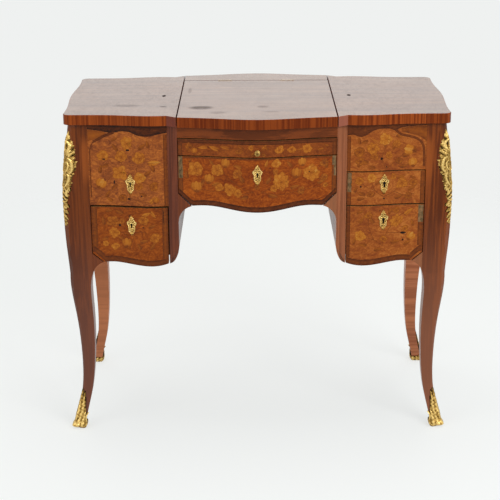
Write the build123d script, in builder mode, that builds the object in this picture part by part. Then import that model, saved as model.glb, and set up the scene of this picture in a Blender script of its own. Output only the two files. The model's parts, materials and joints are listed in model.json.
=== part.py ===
"""Poudreuse dressing table: a serpentine case on four cabriole legs, with a lifting mirror lid,
two folding wings over wells, a writing slide and four drawers.

Millimetres. +Z is up, +X is to the right of someone sitting at the table, and the sitter is on the
-Y side. The origin is on the floor, under the middle of the top.
"""

import os

from build123d import *

# ---- The top in plan --------
# Distances from the middle of the table. The front edge stands back from the middle of its bow by a
# setback at each place along it.
bow_depth = 253.0
half_width = 430.6  # to the middle of a side
overhang = 10.0  # how far the top stands out over the case
flank_x = 91.0
flank_setback = 13.7
seam_x = 175.5  # the line between the lid and a wing, and the wall of the knee hole
seam_setback = 26.5
stile_width = 22.5
stile_setback = 42.5
swell_out = 37.0  # from the stile to where the pedestal front swells
swell_setback = 39.7
hollow_out = 65.0  # from the swell to where it is hollow
hollow_setback = 48.5
corner_in = 18.6  # from the middle of a side to the start of the corner's round
corner_setback = 54.0
corner_radius = 16.0
side_end_in = 4.6
side_end_setback = 69.0
side_waist_in = 6.0
side_waist_setback = 125.0
seam_gap = 2.0
edge_ease = 0.7  # small chamfer along the top's edges

stile_x = seam_x + stile_width
swell_x = stile_x + swell_out
hollow_x = swell_x + hollow_out
corner_x = half_width - corner_in
side_end_x = half_width - side_end_in
side_waist_x = half_width - side_waist_in
flank_depth = bow_depth - flank_setback
seam_depth = bow_depth - seam_setback
stile_depth = bow_depth - stile_setback
swell_depth = bow_depth - swell_setback
hollow_depth = bow_depth - hollow_setback
corner_depth = bow_depth - corner_setback
side_end_depth = bow_depth - side_end_setback
side_waist_depth = bow_depth - side_waist_setback

# ---- Reveals, clearances and board thicknesses --------
reveal = 1.5  # gap round a drawer front
level_reveal = 2.5  # gap above a drawer front
left_drawer_gap = 4.25  # the left drawer has shrunk, so its gaps are wider
left_drawer_side_gap = 2.75
running = 0.3  # a drawer or slide over its runner
side_play = 1.0  # a drawer or slide between the sides of its room
guide_play = 0.5
front_thickness = 18.0
false_front_thickness = 14.0
inner_side_thickness = 12.0
back_thickness = 12.0
side_thickness = 11.6
stile_thickness = 15.5
board_thickness = 8.0
well_board = 6.0
divider_thickness = 10.0
drawer_side = 9.0
drawer_bottom = 6.0
bottom_groove = 3.0  # from a drawer side's lower edge up to the bottom
guide_height = 14.0
guide_lap = 1.5
ledge_width = 16.0
ledge_height = 10.0
headroom = 8.0

# ---- Levels --------
height = 750.0  # floor to the top surface
top_thickness = 22.5
rail_height = 25.0
slide_height = 36.5
left_false_height = 185.5
right_false_height = 106.5
right_split_drop = 186.0  # from under the top to the reveal between the two right drawers
apron_drop = 189.0  # from under the top to the middle of the centre drawer's edge
apron_lift = 12.0
cut_lift = 10.1
cut_height = 28.4
knee_arch_height = 38.6
stile_drop = 321.0
stile_round = 48.5
stile_turn = 6.0
stile_turn_height = 19.5
dip_hang = 6.3
crest_lift = 8.3
ear_hang = 1.0
ear_height = 21.0
leg_arch_height = 27.5

case_top = height - top_thickness
rail_bottom = case_top - rail_height
slide_top = rail_bottom - level_reveal
slide_bottom = slide_top - slide_height
centre_drawer_top = slide_bottom - level_reveal
left_false_bottom = case_top - left_false_height
right_false_bottom = case_top - right_false_height
right_split = case_top - right_split_drop
apron_level = case_top - apron_drop
apron_rise = apron_level + apron_lift
cut_level = apron_level + cut_lift
cut_top = cut_level + cut_height
knee_arch_level = cut_level - knee_arch_height
stile_foot = case_top - stile_drop
stile_round_top = stile_foot + stile_round
dip_level = stile_foot - dip_hang
crest_level = dip_level + crest_lift
ear_level = crest_level - ear_hang
ear_top = ear_level + ear_height
leg_arch_level = ear_level - leg_arch_height  # below this the corner post becomes a leg

# ---- Shaped edges of the front, across --------
cut_width = 30.0  # the centre drawer's corner is cut off
apron_shoulder = 33.5
ear_width = 25.0  # and so is the lowest pedestal drawer's
crest_in = 29.5
knee_arch_share = 0.66
knee_arch_bulge = 6.0
ear_arch_share = 0.62
ear_arch_bulge = 3.0

# ---- Corner posts and legs --------
post_width = 42.5
post_proud = 1.0  # a post's corner stands this far out from the case's corner
sole = 3.0  # thickness of the sabot under the foot
foot_stance = 6.5  # the feet stand this much further out in front than they do sideways
foot_room = 120.0

top_corner_x = side_end_x - overhang + post_proud
top_corner_depth = corner_depth - overhang
post_x = top_corner_x - post_width  # its face beside the drawers
post_y = top_corner_depth - post_width  # and its face towards the side panel
side_inner_x = side_waist_x - overhang - side_thickness
cut_x = seam_x - cut_width
apron_rise_x = cut_x - apron_shoulder
ear_x = post_x - ear_width
crest_x = ear_x - crest_in
dip_x = swell_x

# Stations of a leg. The share is of the way from the arch up to the top for the post, and from the
# floor up to the arch for the leg. Swing is how far the corner moves out from its place under the
# top. The cant is the flat on the outer corner, and the splay is how far the inner edges of the
# outer faces stay behind the corner.
post_stations = [
    dict(share=1.0, swing=0.0, cant=7.0),
    dict(share=0.783, swing=8.0, cant=9.0),
    dict(share=0.555, swing=14.5, cant=10.0),
    dict(share=0.331, swing=16.0, cant=10.0),
    dict(share=0.144, swing=12.5, cant=9.0),
    dict(share=0.0, swing=9.0, cant=8.0),
]
leg_stations = [
    dict(share=0.868, swing=6.5, width=43.5, cant=6.5, splay=3.5),
    dict(share=0.692, swing=-2.2, width=37.1, cant=5.0, splay=2.0),
    dict(share=0.497, swing=-7.8, width=30.7, cant=4.2, splay=1.0),
    dict(share=0.311, swing=-8.0, width=25.3, cant=3.6, splay=0.8),
    dict(share=0.184, swing=-2.0, width=23.4, cant=3.6, splay=1.0),
    dict(share=0.084, swing=8.0, width=25.0, cant=4.5, splay=1.5),
    dict(share=0.0, swing=15.0, width=27.0, cant=7.0, splay=2.0),
]

# ---- Writing slide --------
slide_board_lift = 6.5
slide_board_thickness = 16.0
slide_rear_gap = 45.0
leather_thickness = 1.5
leather_margin = 22.0
knob_radius = 4.3
knob_clearance = 0.1
knob_rise = 10.5  # above the slide front's lower edge
rose_radius = 6.2
rose_thickness = 1.2
neck_radius = 2.4

# ---- Lid, mirror and hinges --------
hinge_strip = 85.5  # from the lid's hinge line to the back
hinge_line_gap = 0.8
mirror_half_width = 140.0
mirror_front_margin = 63.0
mirror_hinge_margin = 37.5
mirror_pocket = 5.0
mirror_thickness = 3.0
moulding_width = 14.0
moulding_drop = 3.0
moulding_chamfer = 1.5
hinge_length = 34.0
knuckle_radius = 2.0
knuckle_gap = 0.2
knuckle_relief = 0.5
pin_radius = 0.9
pin_clearance = 0.05
pin_setback = 0.5
leaf_thickness = 1.2
leaf_offset = 0.1
bed_slack = 0.1
lid_leaf = 16.0
wing_leaf = 26.0
lid_hinge_x = 76.0
wing_hinge_y = 62.0
hinge_clear = 0.4

# ---- Depths of what runs inside --------
centre_rear_gap = 14.5
side_rear_gap = 7.0

hinge_y = bow_depth - hinge_strip
mirror_front = bow_depth - mirror_front_margin
mirror_rear = hinge_y - mirror_hinge_margin
stile_back = stile_depth - overhang - stile_thickness
centre_drawer_back = seam_depth - overhang - back_thickness - centre_rear_gap
side_drawer_back = corner_depth - overhang - back_thickness - side_rear_gap
slide_back = stile_back - slide_rear_gap

# ---- Gilt bronze and locks --------
mount_thickness = 7.0
mount_top_drop = 12.5
mount_shell_drop = 75.5
mount_bottom_drop = 228.5
mount_half_width = 19.0
mount_stem = 9.0
mount_crown = 38.0
mount_neck = 60.0
mount_tail = 45.0
sabot_thickness = 1.8
sabot_inner = 40.0
sabot_tip = 94.0
plate_thickness = 2.0
plate_width = 24.0
plate_height = 47.0
plate_inboard = 4.0  # an escutcheon sits a little inside the middle of a pedestal front
centre_plate_drop = 36.0  # from the top of its front
left_plate_drop = 41.25
right_upper_plate_drop = 27.5
right_lower_plate_drop = 33.0
false_plate_drop = 134.5
keyhole_radius = 2.2
keyhole_rise = 2.0
keyhole_slot = 7.0
lock_width = 46.0
lock_height = 32.0
lock_thickness = 8.0

sheet = 1000.0  # larger than the table: the length of cutting extrusions


# ---- The plan, which every serpentine piece follows --------
def plan_face(inset):
    """The outline of the top, moved in by inset."""
    with BuildSketch() as plan:
        with BuildLine():
            bow = Spline(
                (0, inset - bow_depth),
                (flank_x, inset - flank_depth),
                (seam_x, inset - seam_depth),
                tangents=[(1, 0), (1, 0.12)],
            )
            cant = Line(bow @ 1, (stile_x, inset - stile_depth))
            wing = Spline(
                cant @ 1,
                (swell_x, inset - swell_depth),
                (hollow_x, inset - hollow_depth),
                (corner_x - inset, inset - corner_depth),
                tangents=[(1, -0.15), (1, 0)],
            )
            corner = RadiusArc(wing @ 1, (side_end_x - inset, inset - side_end_depth), -corner_radius)
            Spline(
                corner @ 1,
                (side_waist_x - inset, -side_waist_depth),
                (half_width - inset, 0),
                tangents=[(-0.05, 1), (0, 1)],
            )
            mirror(about=Plane.XZ)
            mirror(about=Plane.YZ)
        make_face()
    return plan.sketch


def rectangle(x0, x1, y0, y1):
    """A rectangle between two corners, in plan or in elevation."""
    with BuildSketch() as outline:
        with Locations(((x0 + x1) / 2, (y0 + y1) / 2)):
            Rectangle(x1 - x0, y1 - y0)
    return outline.sketch


def board(plan, bottom, top):
    """A flat board with a given plan."""
    with BuildPart() as piece:
        with BuildSketch(Plane.XY.offset(bottom)):
            add(plan)
        extrude(amount=top - bottom)
    return piece.part


def block(x0, x1, y0, y1, z0, z1):
    """A squared length of wood or metal between two corners."""
    return board(rectangle(x0, x1, y0, y1), z0, z1)


def serpentine(elevation, inset, thickness, rear=False):
    """A board that follows the front (or the back), cut to an outline in elevation."""
    with BuildPart() as piece:
        with BuildSketch(Plane.XZ):
            add(elevation)
        extrude(amount=-sheet if rear else sheet)
        with BuildSketch():
            add(plan_face(inset))
            add(plan_face(inset + thickness), mode=Mode.SUBTRACT)
        extrude(amount=sheet, mode=Mode.INTERSECT)
    return piece.part


def mirrored(part):
    """The same piece on the other side of the table."""
    with BuildPart() as piece:
        mirror(part, about=Plane.YZ)
    return piece.part


def behind_front(inset, x0, x1, rear_y):
    """Plan of a board that fits against the back of a serpentine front."""
    return plan_face(inset) & rectangle(x0, x1, -sheet / 2, rear_y)


top_plan = plan_face(0)
case_plan = plan_face(overhang)


# ---- Elevations of the shaped pieces --------
def knee_arch(start):
    """The arch from the centre drawer's cut corner down the wall of the knee hole."""
    middle_x = cut_x + knee_arch_share * cut_width
    middle_level = (cut_level + knee_arch_level) / 2 + knee_arch_bulge
    return ThreePointArc(start, (middle_x, middle_level), (seam_x, knee_arch_level))


def ear_arch(start, post_face):
    """The arch from a pedestal's lower edge down the inside of a leg."""
    middle_x = post_face - ear_width + ear_arch_share * ear_width
    middle_level = (ear_level + leg_arch_level) / 2 + ear_arch_bulge
    return ThreePointArc(start, (middle_x, middle_level), (post_face, leg_arch_level))


def centre_apron(end_x):
    """The centre drawer's lower edge, from its middle to its cut corner."""
    return Spline(
        (0, apron_level), (apron_rise_x, apron_rise), (end_x, cut_level), tangents=[(1, 0), (1, -0.1)]
    )


def pedestal_apron(start_x, end_x):
    """The lower edge of a pedestal front, as a line from the stile to the leg."""
    return Spline(
        (start_x, stile_foot),
        (dip_x, dip_level),
        (crest_x, crest_level),
        (end_x, ear_level),
        tangents=[(1, -0.35), (1, -0.08)],
    )


def centre_drawer_outline():
    """Apron edge, cut corners and square top of the centre drawer."""
    edge = seam_x - reveal
    with BuildSketch() as outline:
        with BuildLine():
            apron = centre_apron(cut_x - reveal)
            Polyline(apron @ 1, (edge, cut_top), (edge, centre_drawer_top), (0, centre_drawer_top))
            mirror(about=Plane.YZ)
        make_face()
    return outline.sketch


def knee_bracket_outline():
    """The corner under the drawer, between its cut edge and the arch of the knee hole."""
    with BuildSketch() as outline:
        with BuildLine():
            arch = knee_arch((cut_x + reveal / 2, cut_level - reveal))
            Polyline(arch @ 1, (seam_x, cut_top - reveal), arch @ 0)
        make_face()
    return outline.sketch


def lowest_drawer_outline(top, side_gap):
    """A pedestal's lowest drawer front, with its shaped edge and cut corner."""
    inner = stile_x + side_gap
    outer = post_x - reveal
    with BuildSketch() as outline:
        with BuildLine():
            apron = pedestal_apron(inner, ear_x - reveal)
            Polyline(apron @ 1, (outer, ear_top), (outer, top), (inner, top), apron @ 0)
        make_face()
    return outline.sketch


def leg_bracket_outline():
    """The ear between the pedestal drawer's cut corner and the leg."""
    with BuildSketch() as outline:
        with BuildLine():
            arch = ear_arch((ear_x + reveal / 2, ear_level - reveal), post_x)
            Polyline(arch @ 1, (post_x, ear_top - reveal), arch @ 0)
        make_face()
    return outline.sketch


def stile_outline():
    """A stile with its rounded foot."""
    with BuildSketch() as outline:
        with BuildLine():
            foot = Spline(
                (seam_x, stile_round_top),
                (seam_x + stile_turn, stile_foot + stile_turn_height),
                (stile_x, stile_foot),
                tangents=[(0, -1), (1, -0.45)],
            )
            Polyline(foot @ 1, (stile_x, case_top), (seam_x, case_top), foot @ 0)
        make_face()
    return outline.sketch


def centre_back_outline():
    """The centre back has the front's apron and arches in one board."""
    with BuildSketch() as outline:
        with BuildLine():
            apron = centre_apron(cut_x)
            arch = knee_arch(apron @ 1)
            Polyline(arch @ 1, (seam_x, case_top), (0, case_top))
            mirror(about=Plane.YZ)
        make_face()
    return outline.sketch


def pedestal_back_outline():
    """A pedestal back, with the front's lower edge and ear in one board."""
    with BuildSketch() as outline:
        with BuildLine():
            apron = pedestal_apron(stile_x, ear_x)
            arch = ear_arch(apron @ 1, post_x)
            Polyline(arch @ 1, (post_x, case_top), (stile_x, case_top), apron @ 0)
        make_face()
    return outline.sketch


def side_outline():
    """A side panel seen from the side: Y across, Z up."""
    reach = post_y - ear_width
    with BuildSketch() as outline:
        with BuildLine():
            apron = Spline(
                (0, dip_level),
                (reach - crest_in, crest_level),
                (reach, ear_level),
                tangents=[(1, 0), (1, -0.08)],
            )
            arch = ear_arch(apron @ 1, post_y)
            Polyline(arch @ 1, (post_y, case_top), (0, case_top))
            mirror(about=Plane.YZ)
        make_face()
    return outline.sketch


# ---- Legs --------
def corner_section(level, inner_x, inner_y, face_y, face_x, out_x, out_y, cant, grow):
    """One level of the front right corner: five points, the outer corner canted."""
    out_x = out_x + grow
    out_y = out_y + grow
    cut = cant + grow * 0.4
    with BuildSketch(Plane.XY.offset(level)) as section:
        with BuildLine():
            Polyline(
                (inner_x, -inner_y),
                (inner_x, -face_y - grow),
                (out_x - cut, -out_y),
                (out_x, -out_y + cut),
                (face_x + grow, -inner_y),
                close=True,
            )
        make_face()
    return section.sketch


def post_section(station, grow=0.0):
    """Above the knee the post's faces start flush with the drawers and the side panel."""
    return corner_section(
        leg_arch_level + station["share"] * (case_top - leg_arch_level),
        post_x,
        post_y,
        top_corner_depth + post_proud,
        side_waist_x - overhang,
        top_corner_x + station["swing"],
        top_corner_depth + station["swing"],
        station["cant"],
        grow,
    )


def leg_section(station, grow=0.0):
    """Below the knee the section is nearly square."""
    out_x = top_corner_x + station["swing"]
    out_y = top_corner_depth + station["swing"] + foot_stance * (1 - station["share"])
    return corner_section(
        station["share"] * leg_arch_level,
        out_x - station["width"] - grow,
        out_y - station["width"] - grow,
        out_y - station["splay"],
        out_x - station["splay"],
        out_x,
        out_y,
        station["cant"],
        grow,
    )


with BuildPart() as front_right_leg:
    for station in post_stations:
        add(post_section(station))
    loft()
    add(post_section(post_stations[-1]))
    for station in leg_stations:
        add(leg_section(station))
    loft()
    with BuildSketch(Plane.XY):
        with Locations((top_corner_x, -top_corner_depth)):
            Rectangle(foot_room, foot_room)
    extrude(amount=sole, mode=Mode.SUBTRACT)

with BuildPart() as front_left_leg:
    mirror(front_right_leg.part, about=Plane.YZ)

with BuildPart() as rear_right_leg:
    mirror(front_right_leg.part, about=Plane.XZ)

with BuildPart() as rear_left_leg:
    mirror(front_left_leg.part, about=Plane.XZ)

# ---- Case --------
with BuildPart() as right_side_panel:
    with BuildSketch(Plane.YZ):
        add(side_outline())
    extrude(amount=sheet)
    with BuildSketch():
        add(case_plan & rectangle(side_inner_x, sheet / 2, -post_y, post_y))
    extrude(amount=sheet, mode=Mode.INTERSECT)

with BuildPart() as right_inner_side:
    with BuildSketch(Plane.XZ):
        add(stile_outline() & rectangle(seam_x, seam_x + inner_side_thickness, 0, case_top))
    extrude(amount=stile_back, both=True)

with BuildPart() as left_inner_side:
    mirror(right_inner_side.part, about=Plane.YZ)

with BuildPart() as front_right_stile:
    with BuildSketch(Plane.XZ):
        add(stile_outline())
    extrude(amount=sheet)
    with BuildSketch():
        add(case_plan & rectangle(seam_x, stile_x, -sheet / 2, -stile_back))
    extrude(amount=sheet, mode=Mode.INTERSECT)

with BuildPart() as front_left_stile:
    mirror(front_right_stile.part, about=Plane.YZ)

with BuildPart() as rear_stiles:
    mirror(front_right_stile.part, about=Plane.XZ)
    mirror(front_left_stile.part, about=Plane.XZ)

pedestal_back = serpentine(pedestal_back_outline(), overhang, back_thickness, rear=True)
with BuildPart() as pedestal_backs:
    add(pedestal_back)
    mirror(pedestal_back, about=Plane.YZ)

centre_back = serpentine(centre_back_outline(), overhang, back_thickness, rear=True)


def fixed_front(x0, x1, bottom):
    """A front that doesn't move, from its lower edge up to the top."""
    return serpentine(rectangle(x0, x1, bottom, case_top), overhang, false_front_thickness)


right_false_front = fixed_front(stile_x, post_x, right_false_bottom)
left_false_front = mirrored(fixed_front(stile_x, post_x, left_false_bottom))
centre_rail = fixed_front(-seam_x, seam_x, rail_bottom)

knee_bracket = serpentine(knee_bracket_outline(), overhang, front_thickness)
leg_bracket = serpentine(leg_bracket_outline(), overhang, front_thickness)
with BuildPart() as corner_brackets:
    add(knee_bracket)
    add(leg_bracket)
    mirror(knee_bracket, about=Plane.YZ)
    mirror(leg_bracket, about=Plane.YZ)


# ---- Boards inside the case --------
def pedestal_plan(front_inset):
    """Plan of a board across a pedestal, notched round the corner posts."""
    inner_x = seam_x + inner_side_thickness
    between_posts = rectangle(inner_x, side_inner_x, -post_y, post_y)
    between_ends = behind_front(front_inset, inner_x, post_x, 0)
    rear_half = mirror(behind_front(overhang + back_thickness, inner_x, post_x, 0), about=Plane.XZ)
    stile_notch = rectangle(inner_x, stile_x, -sheet / 2, -stile_back)
    rear_notch = rectangle(inner_x, stile_x, stile_back, sheet / 2)
    return between_posts + between_ends + rear_half - stile_notch - rear_notch


false_front_back = overhang + false_front_thickness
front_back = overhang + front_thickness
runner_inset = front_back + reveal
right_well_bottom = board(
    pedestal_plan(false_front_back), right_false_bottom, right_false_bottom + board_thickness
)
left_well_bottom = mirrored(
    board(pedestal_plan(false_front_back), left_false_bottom, left_false_bottom + board_thickness)
)

divider_top = right_split + divider_thickness / 2
right_drawer_divider = board(
    pedestal_plan(runner_inset), divider_top - divider_thickness, divider_top
)

# The drawers pass over the ears beside the legs, so the pedestals are closed at the ears' top.
pedestal_floor = ear_top
pedestal_board = board(pedestal_plan(runner_inset), pedestal_floor - board_thickness, pedestal_floor)
with BuildPart() as pedestal_bottoms:
    add(pedestal_board)
    mirror(pedestal_board, about=Plane.YZ)

slide_board_bottom = slide_bottom + slide_board_lift
bed_top = slide_board_bottom - running
bed_bottom = slide_bottom - reveal
slide_bed = board(behind_front(runner_inset, -seam_x, seam_x, stile_back), bed_bottom, bed_top)

mirror_floor = rail_bottom + well_board
with BuildPart() as mirror_well:
    add(board(behind_front(false_front_back, -seam_x, seam_x, stile_back), rail_bottom, mirror_floor))
    add(block(-seam_x, seam_x, hinge_y + 2 * knuckle_radius, stile_back, mirror_floor, case_top))

# Runners: ledges for the centre drawer, above the knee brackets, and guides beside the pedestal
# drawers.
centre_box_bottom = cut_top
inner_guide = (seam_x + inner_side_thickness, stile_x + guide_lap)
outer_guide = (post_x - guide_lap, side_inner_x)
with BuildPart() as drawer_runners:
    for sign in (-1, 1):
        ledge = sorted((sign * (seam_x - ledge_width), sign * seam_x))
        add(block(*ledge, -stile_back, stile_back, centre_box_bottom - ledge_height, centre_box_bottom))
        floors = [pedestal_floor] if sign < 0 else [pedestal_floor, divider_top]
        for floor in floors:
            for guide in (inner_guide, outer_guide):
                strip = sorted((sign * guide[0], sign * guide[1]))
                add(block(*strip, -post_y, post_y, floor, floor + guide_height))


# ---- Top --------
with BuildPart() as whole_top:
    with BuildSketch(Plane.XY.offset(case_top)):
        add(top_plan)
    extrude(amount=top_thickness - edge_ease)
    with BuildSketch(Plane.XY.offset(height - edge_ease)):
        add(top_plan)
    with BuildSketch(Plane.XY.offset(height)):
        add(plan_face(edge_ease))
    loft(ruled=True)


def top_panel(x0, x1, y0, y1):
    """A part of the top, sawn from the whole."""
    with BuildPart() as panel:
        add(whole_top.part)
        with BuildSketch(Plane.XY):
            add(rectangle(x0, x1, y0, y1))
        extrude(amount=sheet, mode=Mode.INTERSECT)
    return panel.part


# A hinge's plane has x along the pin, y towards the leaves' tips and z towards the moving leaf.
def hinge_leaf(frame, leaf_width, side):
    """One leaf with its knuckles. side is 1 for the moving leaf, -1 for the fixed one with the pin."""
    middle = hinge_length / 3
    end = (hinge_length - middle) / 2 - knuckle_gap
    middle_place = [0]
    end_places = [-(hinge_length - end) / 2, (hinge_length - end) / 2]
    own, other = (middle_place, end_places) if side > 0 else (end_places, middle_place)
    own_length, other_length = (middle, end) if side > 0 else (end, middle)
    with BuildPart(frame) as leaf:
        level = side * (leaf_offset + leaf_thickness / 2)
        with Locations((0, leaf_width / 2, level)):
            Box(hinge_length, leaf_width, leaf_thickness)
        for place in other:
            with Locations((place, 0, 0)):
                Box(
                    other_length + 2 * knuckle_gap,
                    2 * (knuckle_radius + knuckle_relief),
                    4 * knuckle_radius,
                    mode=Mode.SUBTRACT,
                )
        for place in own:
            with Locations((place, 0, 0)):
                Cylinder(knuckle_radius, own_length, rotation=(0, 90, 0))
        if side > 0:
            Cylinder(pin_radius + pin_clearance, middle, rotation=(0, 90, 0), mode=Mode.SUBTRACT)
        else:
            Cylinder(pin_radius, hinge_length - 2 * pin_setback, rotation=(0, 90, 0))
    return leaf.part


def hinge_room(frame, leaf_width, side):
    """What a hinge takes out of the wood: a shallow bed for one leaf and a groove for the knuckles."""
    with BuildPart(frame) as room:
        depth = leaf_offset + leaf_thickness + bed_slack
        with Locations((0, leaf_width / 2, side * depth / 2)):
            Box(hinge_length + 2 * bed_slack, leaf_width + 2 * bed_slack, depth)
        Cylinder(knuckle_radius + hinge_clear, hinge_length + 2 * hinge_clear, rotation=(0, 90, 0))
    return room.part


lid_hinges = [
    Plane(origin=(x, hinge_y, height), x_dir=(-1, 0, 0), z_dir=(0, -1, 0))
    for x in (-lid_hinge_x, lid_hinge_x)
]
wing_hinge_x = half_width + knuckle_radius + hinge_clear
wing_hinges = [
    Plane(origin=(wing_hinge_x, y, case_top), x_dir=(0, 1, 0), z_dir=(0, 0, 1))
    for y in (-wing_hinge_y, wing_hinge_y)
]

lid_half = seam_x - seam_gap / 2
lid_rear = hinge_y - hinge_line_gap / 2
strip_front = hinge_y + hinge_line_gap / 2
mirror_plan = rectangle(-mirror_half_width, mirror_half_width, -mirror_front, mirror_rear)
mirror_back = case_top + mirror_pocket - mirror_thickness

with BuildPart() as lid_panel:
    add(top_panel(-lid_half, lid_half, -sheet / 2, lid_rear))
    with BuildSketch(Plane.XY.offset(case_top)):
        add(mirror_plan)
    extrude(amount=mirror_pocket, mode=Mode.SUBTRACT)
    for frame in lid_hinges:
        add(hinge_room(frame, lid_leaf, 1), mode=Mode.SUBTRACT)

with BuildPart() as rear_top_strip:
    add(top_panel(-lid_half, lid_half, strip_front, sheet / 2))
    for frame in lid_hinges:
        add(hinge_room(frame, lid_leaf, -1), mode=Mode.SUBTRACT)

with BuildPart() as right_wing_panel:
    add(top_panel(seam_x + seam_gap / 2, sheet / 2, -sheet / 2, sheet / 2))
    for frame in wing_hinges:
        add(hinge_room(frame, wing_leaf, 1), mode=Mode.SUBTRACT)

with BuildPart() as left_wing_panel:
    mirror(right_wing_panel.part, about=Plane.YZ)

mirror_glass = board(mirror_plan, mirror_back, case_top + mirror_pocket)

with BuildPart() as mirror_moulding:
    with BuildSketch(Plane.XY.offset(case_top - moulding_drop)):
        add(mirror_plan)
        add(
            rectangle(
                moulding_width - mirror_half_width,
                mirror_half_width - moulding_width,
                moulding_width - mirror_front,
                mirror_rear - moulding_width,
            ),
            mode=Mode.SUBTRACT,
        )
    extrude(amount=mirror_back - case_top + moulding_drop)
    chamfer(mirror_moulding.edges().group_by(Axis.Z)[0], moulding_chamfer)

with BuildPart() as lid_hinge_leaves:
    for frame in lid_hinges:
        add(hinge_leaf(frame, lid_leaf, 1))

with BuildPart() as lid_hinge_plates:
    for frame in lid_hinges:
        add(hinge_leaf(frame, lid_leaf, -1))

with BuildPart() as right_wing_hinge_leaves:
    for frame in wing_hinges:
        add(hinge_leaf(frame, wing_leaf, 1))

with BuildPart() as left_wing_hinge_leaves:
    mirror(right_wing_hinge_leaves.part, about=Plane.YZ)

with BuildPart() as wing_hinge_plates:
    for frame in wing_hinges:
        plate = hinge_leaf(frame, wing_leaf, -1)
        add(plate)
        mirror(plate, about=Plane.YZ)

for frame in wing_hinges:
    with BuildPart(mode=Mode.PRIVATE) as beds:
        add(hinge_room(frame, wing_leaf, -1))
    right_side_panel.part = right_side_panel.part - beds.part

with BuildPart() as left_side_panel:
    mirror(right_side_panel.part, about=Plane.YZ)

# ---- Writing slide --------
slide_half = seam_x - side_play
slide_board_top = slide_board_bottom + slide_board_thickness
leather_bottom = slide_board_top - leather_thickness
leather_half = slide_half - leather_margin
leather_plan = behind_front(
    front_back + leather_margin, -leather_half, leather_half, slide_back - leather_margin
)

with BuildPart() as slide_board:
    with BuildSketch(Plane.XY.offset(slide_board_bottom)):
        add(behind_front(front_back, -slide_half, slide_half, slide_back))
    extrude(amount=slide_board_thickness)
    with BuildSketch(Plane.XY.offset(leather_bottom)):
        add(leather_plan)
    extrude(amount=leather_thickness, mode=Mode.SUBTRACT)

slide_leather = board(leather_plan, leather_bottom, slide_board_top)

slide_front = serpentine(
    rectangle(reveal - seam_x, seam_x - reveal, slide_bottom, slide_top), overhang, front_thickness
)

# The knob: a rose, a neck and a ball, turned about an axis that points at the sitter. It stands as
# far out as the edge of the top.
knob_reach = overhang - knob_clearance
knob_level = slide_bottom + knob_rise
knob_seat = bow_depth - knob_reach
with BuildPart() as slide_knob:
    with BuildSketch(Plane.XZ.offset(knob_seat)):
        with Locations((0, knob_level)):
            Circle(rose_radius)
    extrude(amount=rose_thickness)
    with BuildSketch(Plane.XZ.offset(knob_seat)):
        with Locations((0, knob_level)):
            Circle(neck_radius)
    extrude(amount=knob_reach - knob_radius)
    with Locations((0, knob_radius - bow_depth, knob_level)):
        Sphere(knob_radius)


# ---- Drawers --------
def drawer_box(x0, x1, rear_y, bottom, top):
    """Two sides, a back and a bottom, as separate boards that meet face to face."""
    low = bottom + running
    panel = low + bottom_groove
    with BuildPart() as box:
        add(board(behind_front(front_back, x0, x0 + drawer_side, rear_y), low, top))
        add(board(behind_front(front_back, x1 - drawer_side, x1, rear_y), low, top))
        add(block(x0 + drawer_side, x1 - drawer_side, rear_y - drawer_side, rear_y, low, top))
        add(
            board(
                behind_front(front_back, x0 + drawer_side, x1 - drawer_side, rear_y - drawer_side),
                panel,
                panel + drawer_bottom,
            )
        )
    return box.part


def escutcheon(middle_x, middle_z):
    """A waisted gilt plate that follows the front, with a keyhole through it."""
    half = plate_width / 2
    lobe = plate_height * 0.2
    with BuildSketch() as outline:
        with Locations((middle_x, middle_z)):
            Ellipse(half * 0.72, plate_height / 2)
        with Locations((middle_x, middle_z + lobe), (middle_x, middle_z - lobe)):
            Circle(half * 0.92)
        with Locations((middle_x, middle_z + keyhole_rise)):
            Circle(keyhole_radius, mode=Mode.SUBTRACT)
        with Locations((middle_x, middle_z + keyhole_rise - keyhole_slot / 2)):
            Rectangle(keyhole_radius, keyhole_slot, mode=Mode.SUBTRACT)
    return serpentine(outline.sketch, overhang - plate_thickness, plate_thickness)


def lock_case(middle_x, front_top):
    """A lock let into the back of a drawer front, its case flush with the front's top edge."""
    half = lock_width / 2
    outline = rectangle(middle_x - half, middle_x + half, front_top - lock_height, front_top)
    return serpentine(outline, front_back - lock_thickness, lock_thickness)


def drawer_front(outline, middle_x, front_top):
    """A serpentine front with a bed for its lock cut into the back."""
    return serpentine(outline, overhang, front_thickness) - lock_case(middle_x, front_top)


centre_drawer_front = drawer_front(centre_drawer_outline(), 0, centre_drawer_top)
centre_drawer_box = drawer_box(
    side_play - seam_x, seam_x - side_play, centre_drawer_back, centre_box_bottom, bed_bottom - headroom
)
centre_drawer_escutcheon = escutcheon(0, centre_drawer_top - centre_plate_drop)
centre_drawer_lock = lock_case(0, centre_drawer_top)

plate_x = (stile_x + post_x) / 2 - plate_inboard
left_drawer_top = left_false_bottom - left_drawer_gap
right_upper_top = right_false_bottom - level_reveal
right_lower_top = right_split - reveal
right_upper_outline = rectangle(
    stile_x + reveal, post_x - reveal, right_split + reveal, right_upper_top
)

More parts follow.
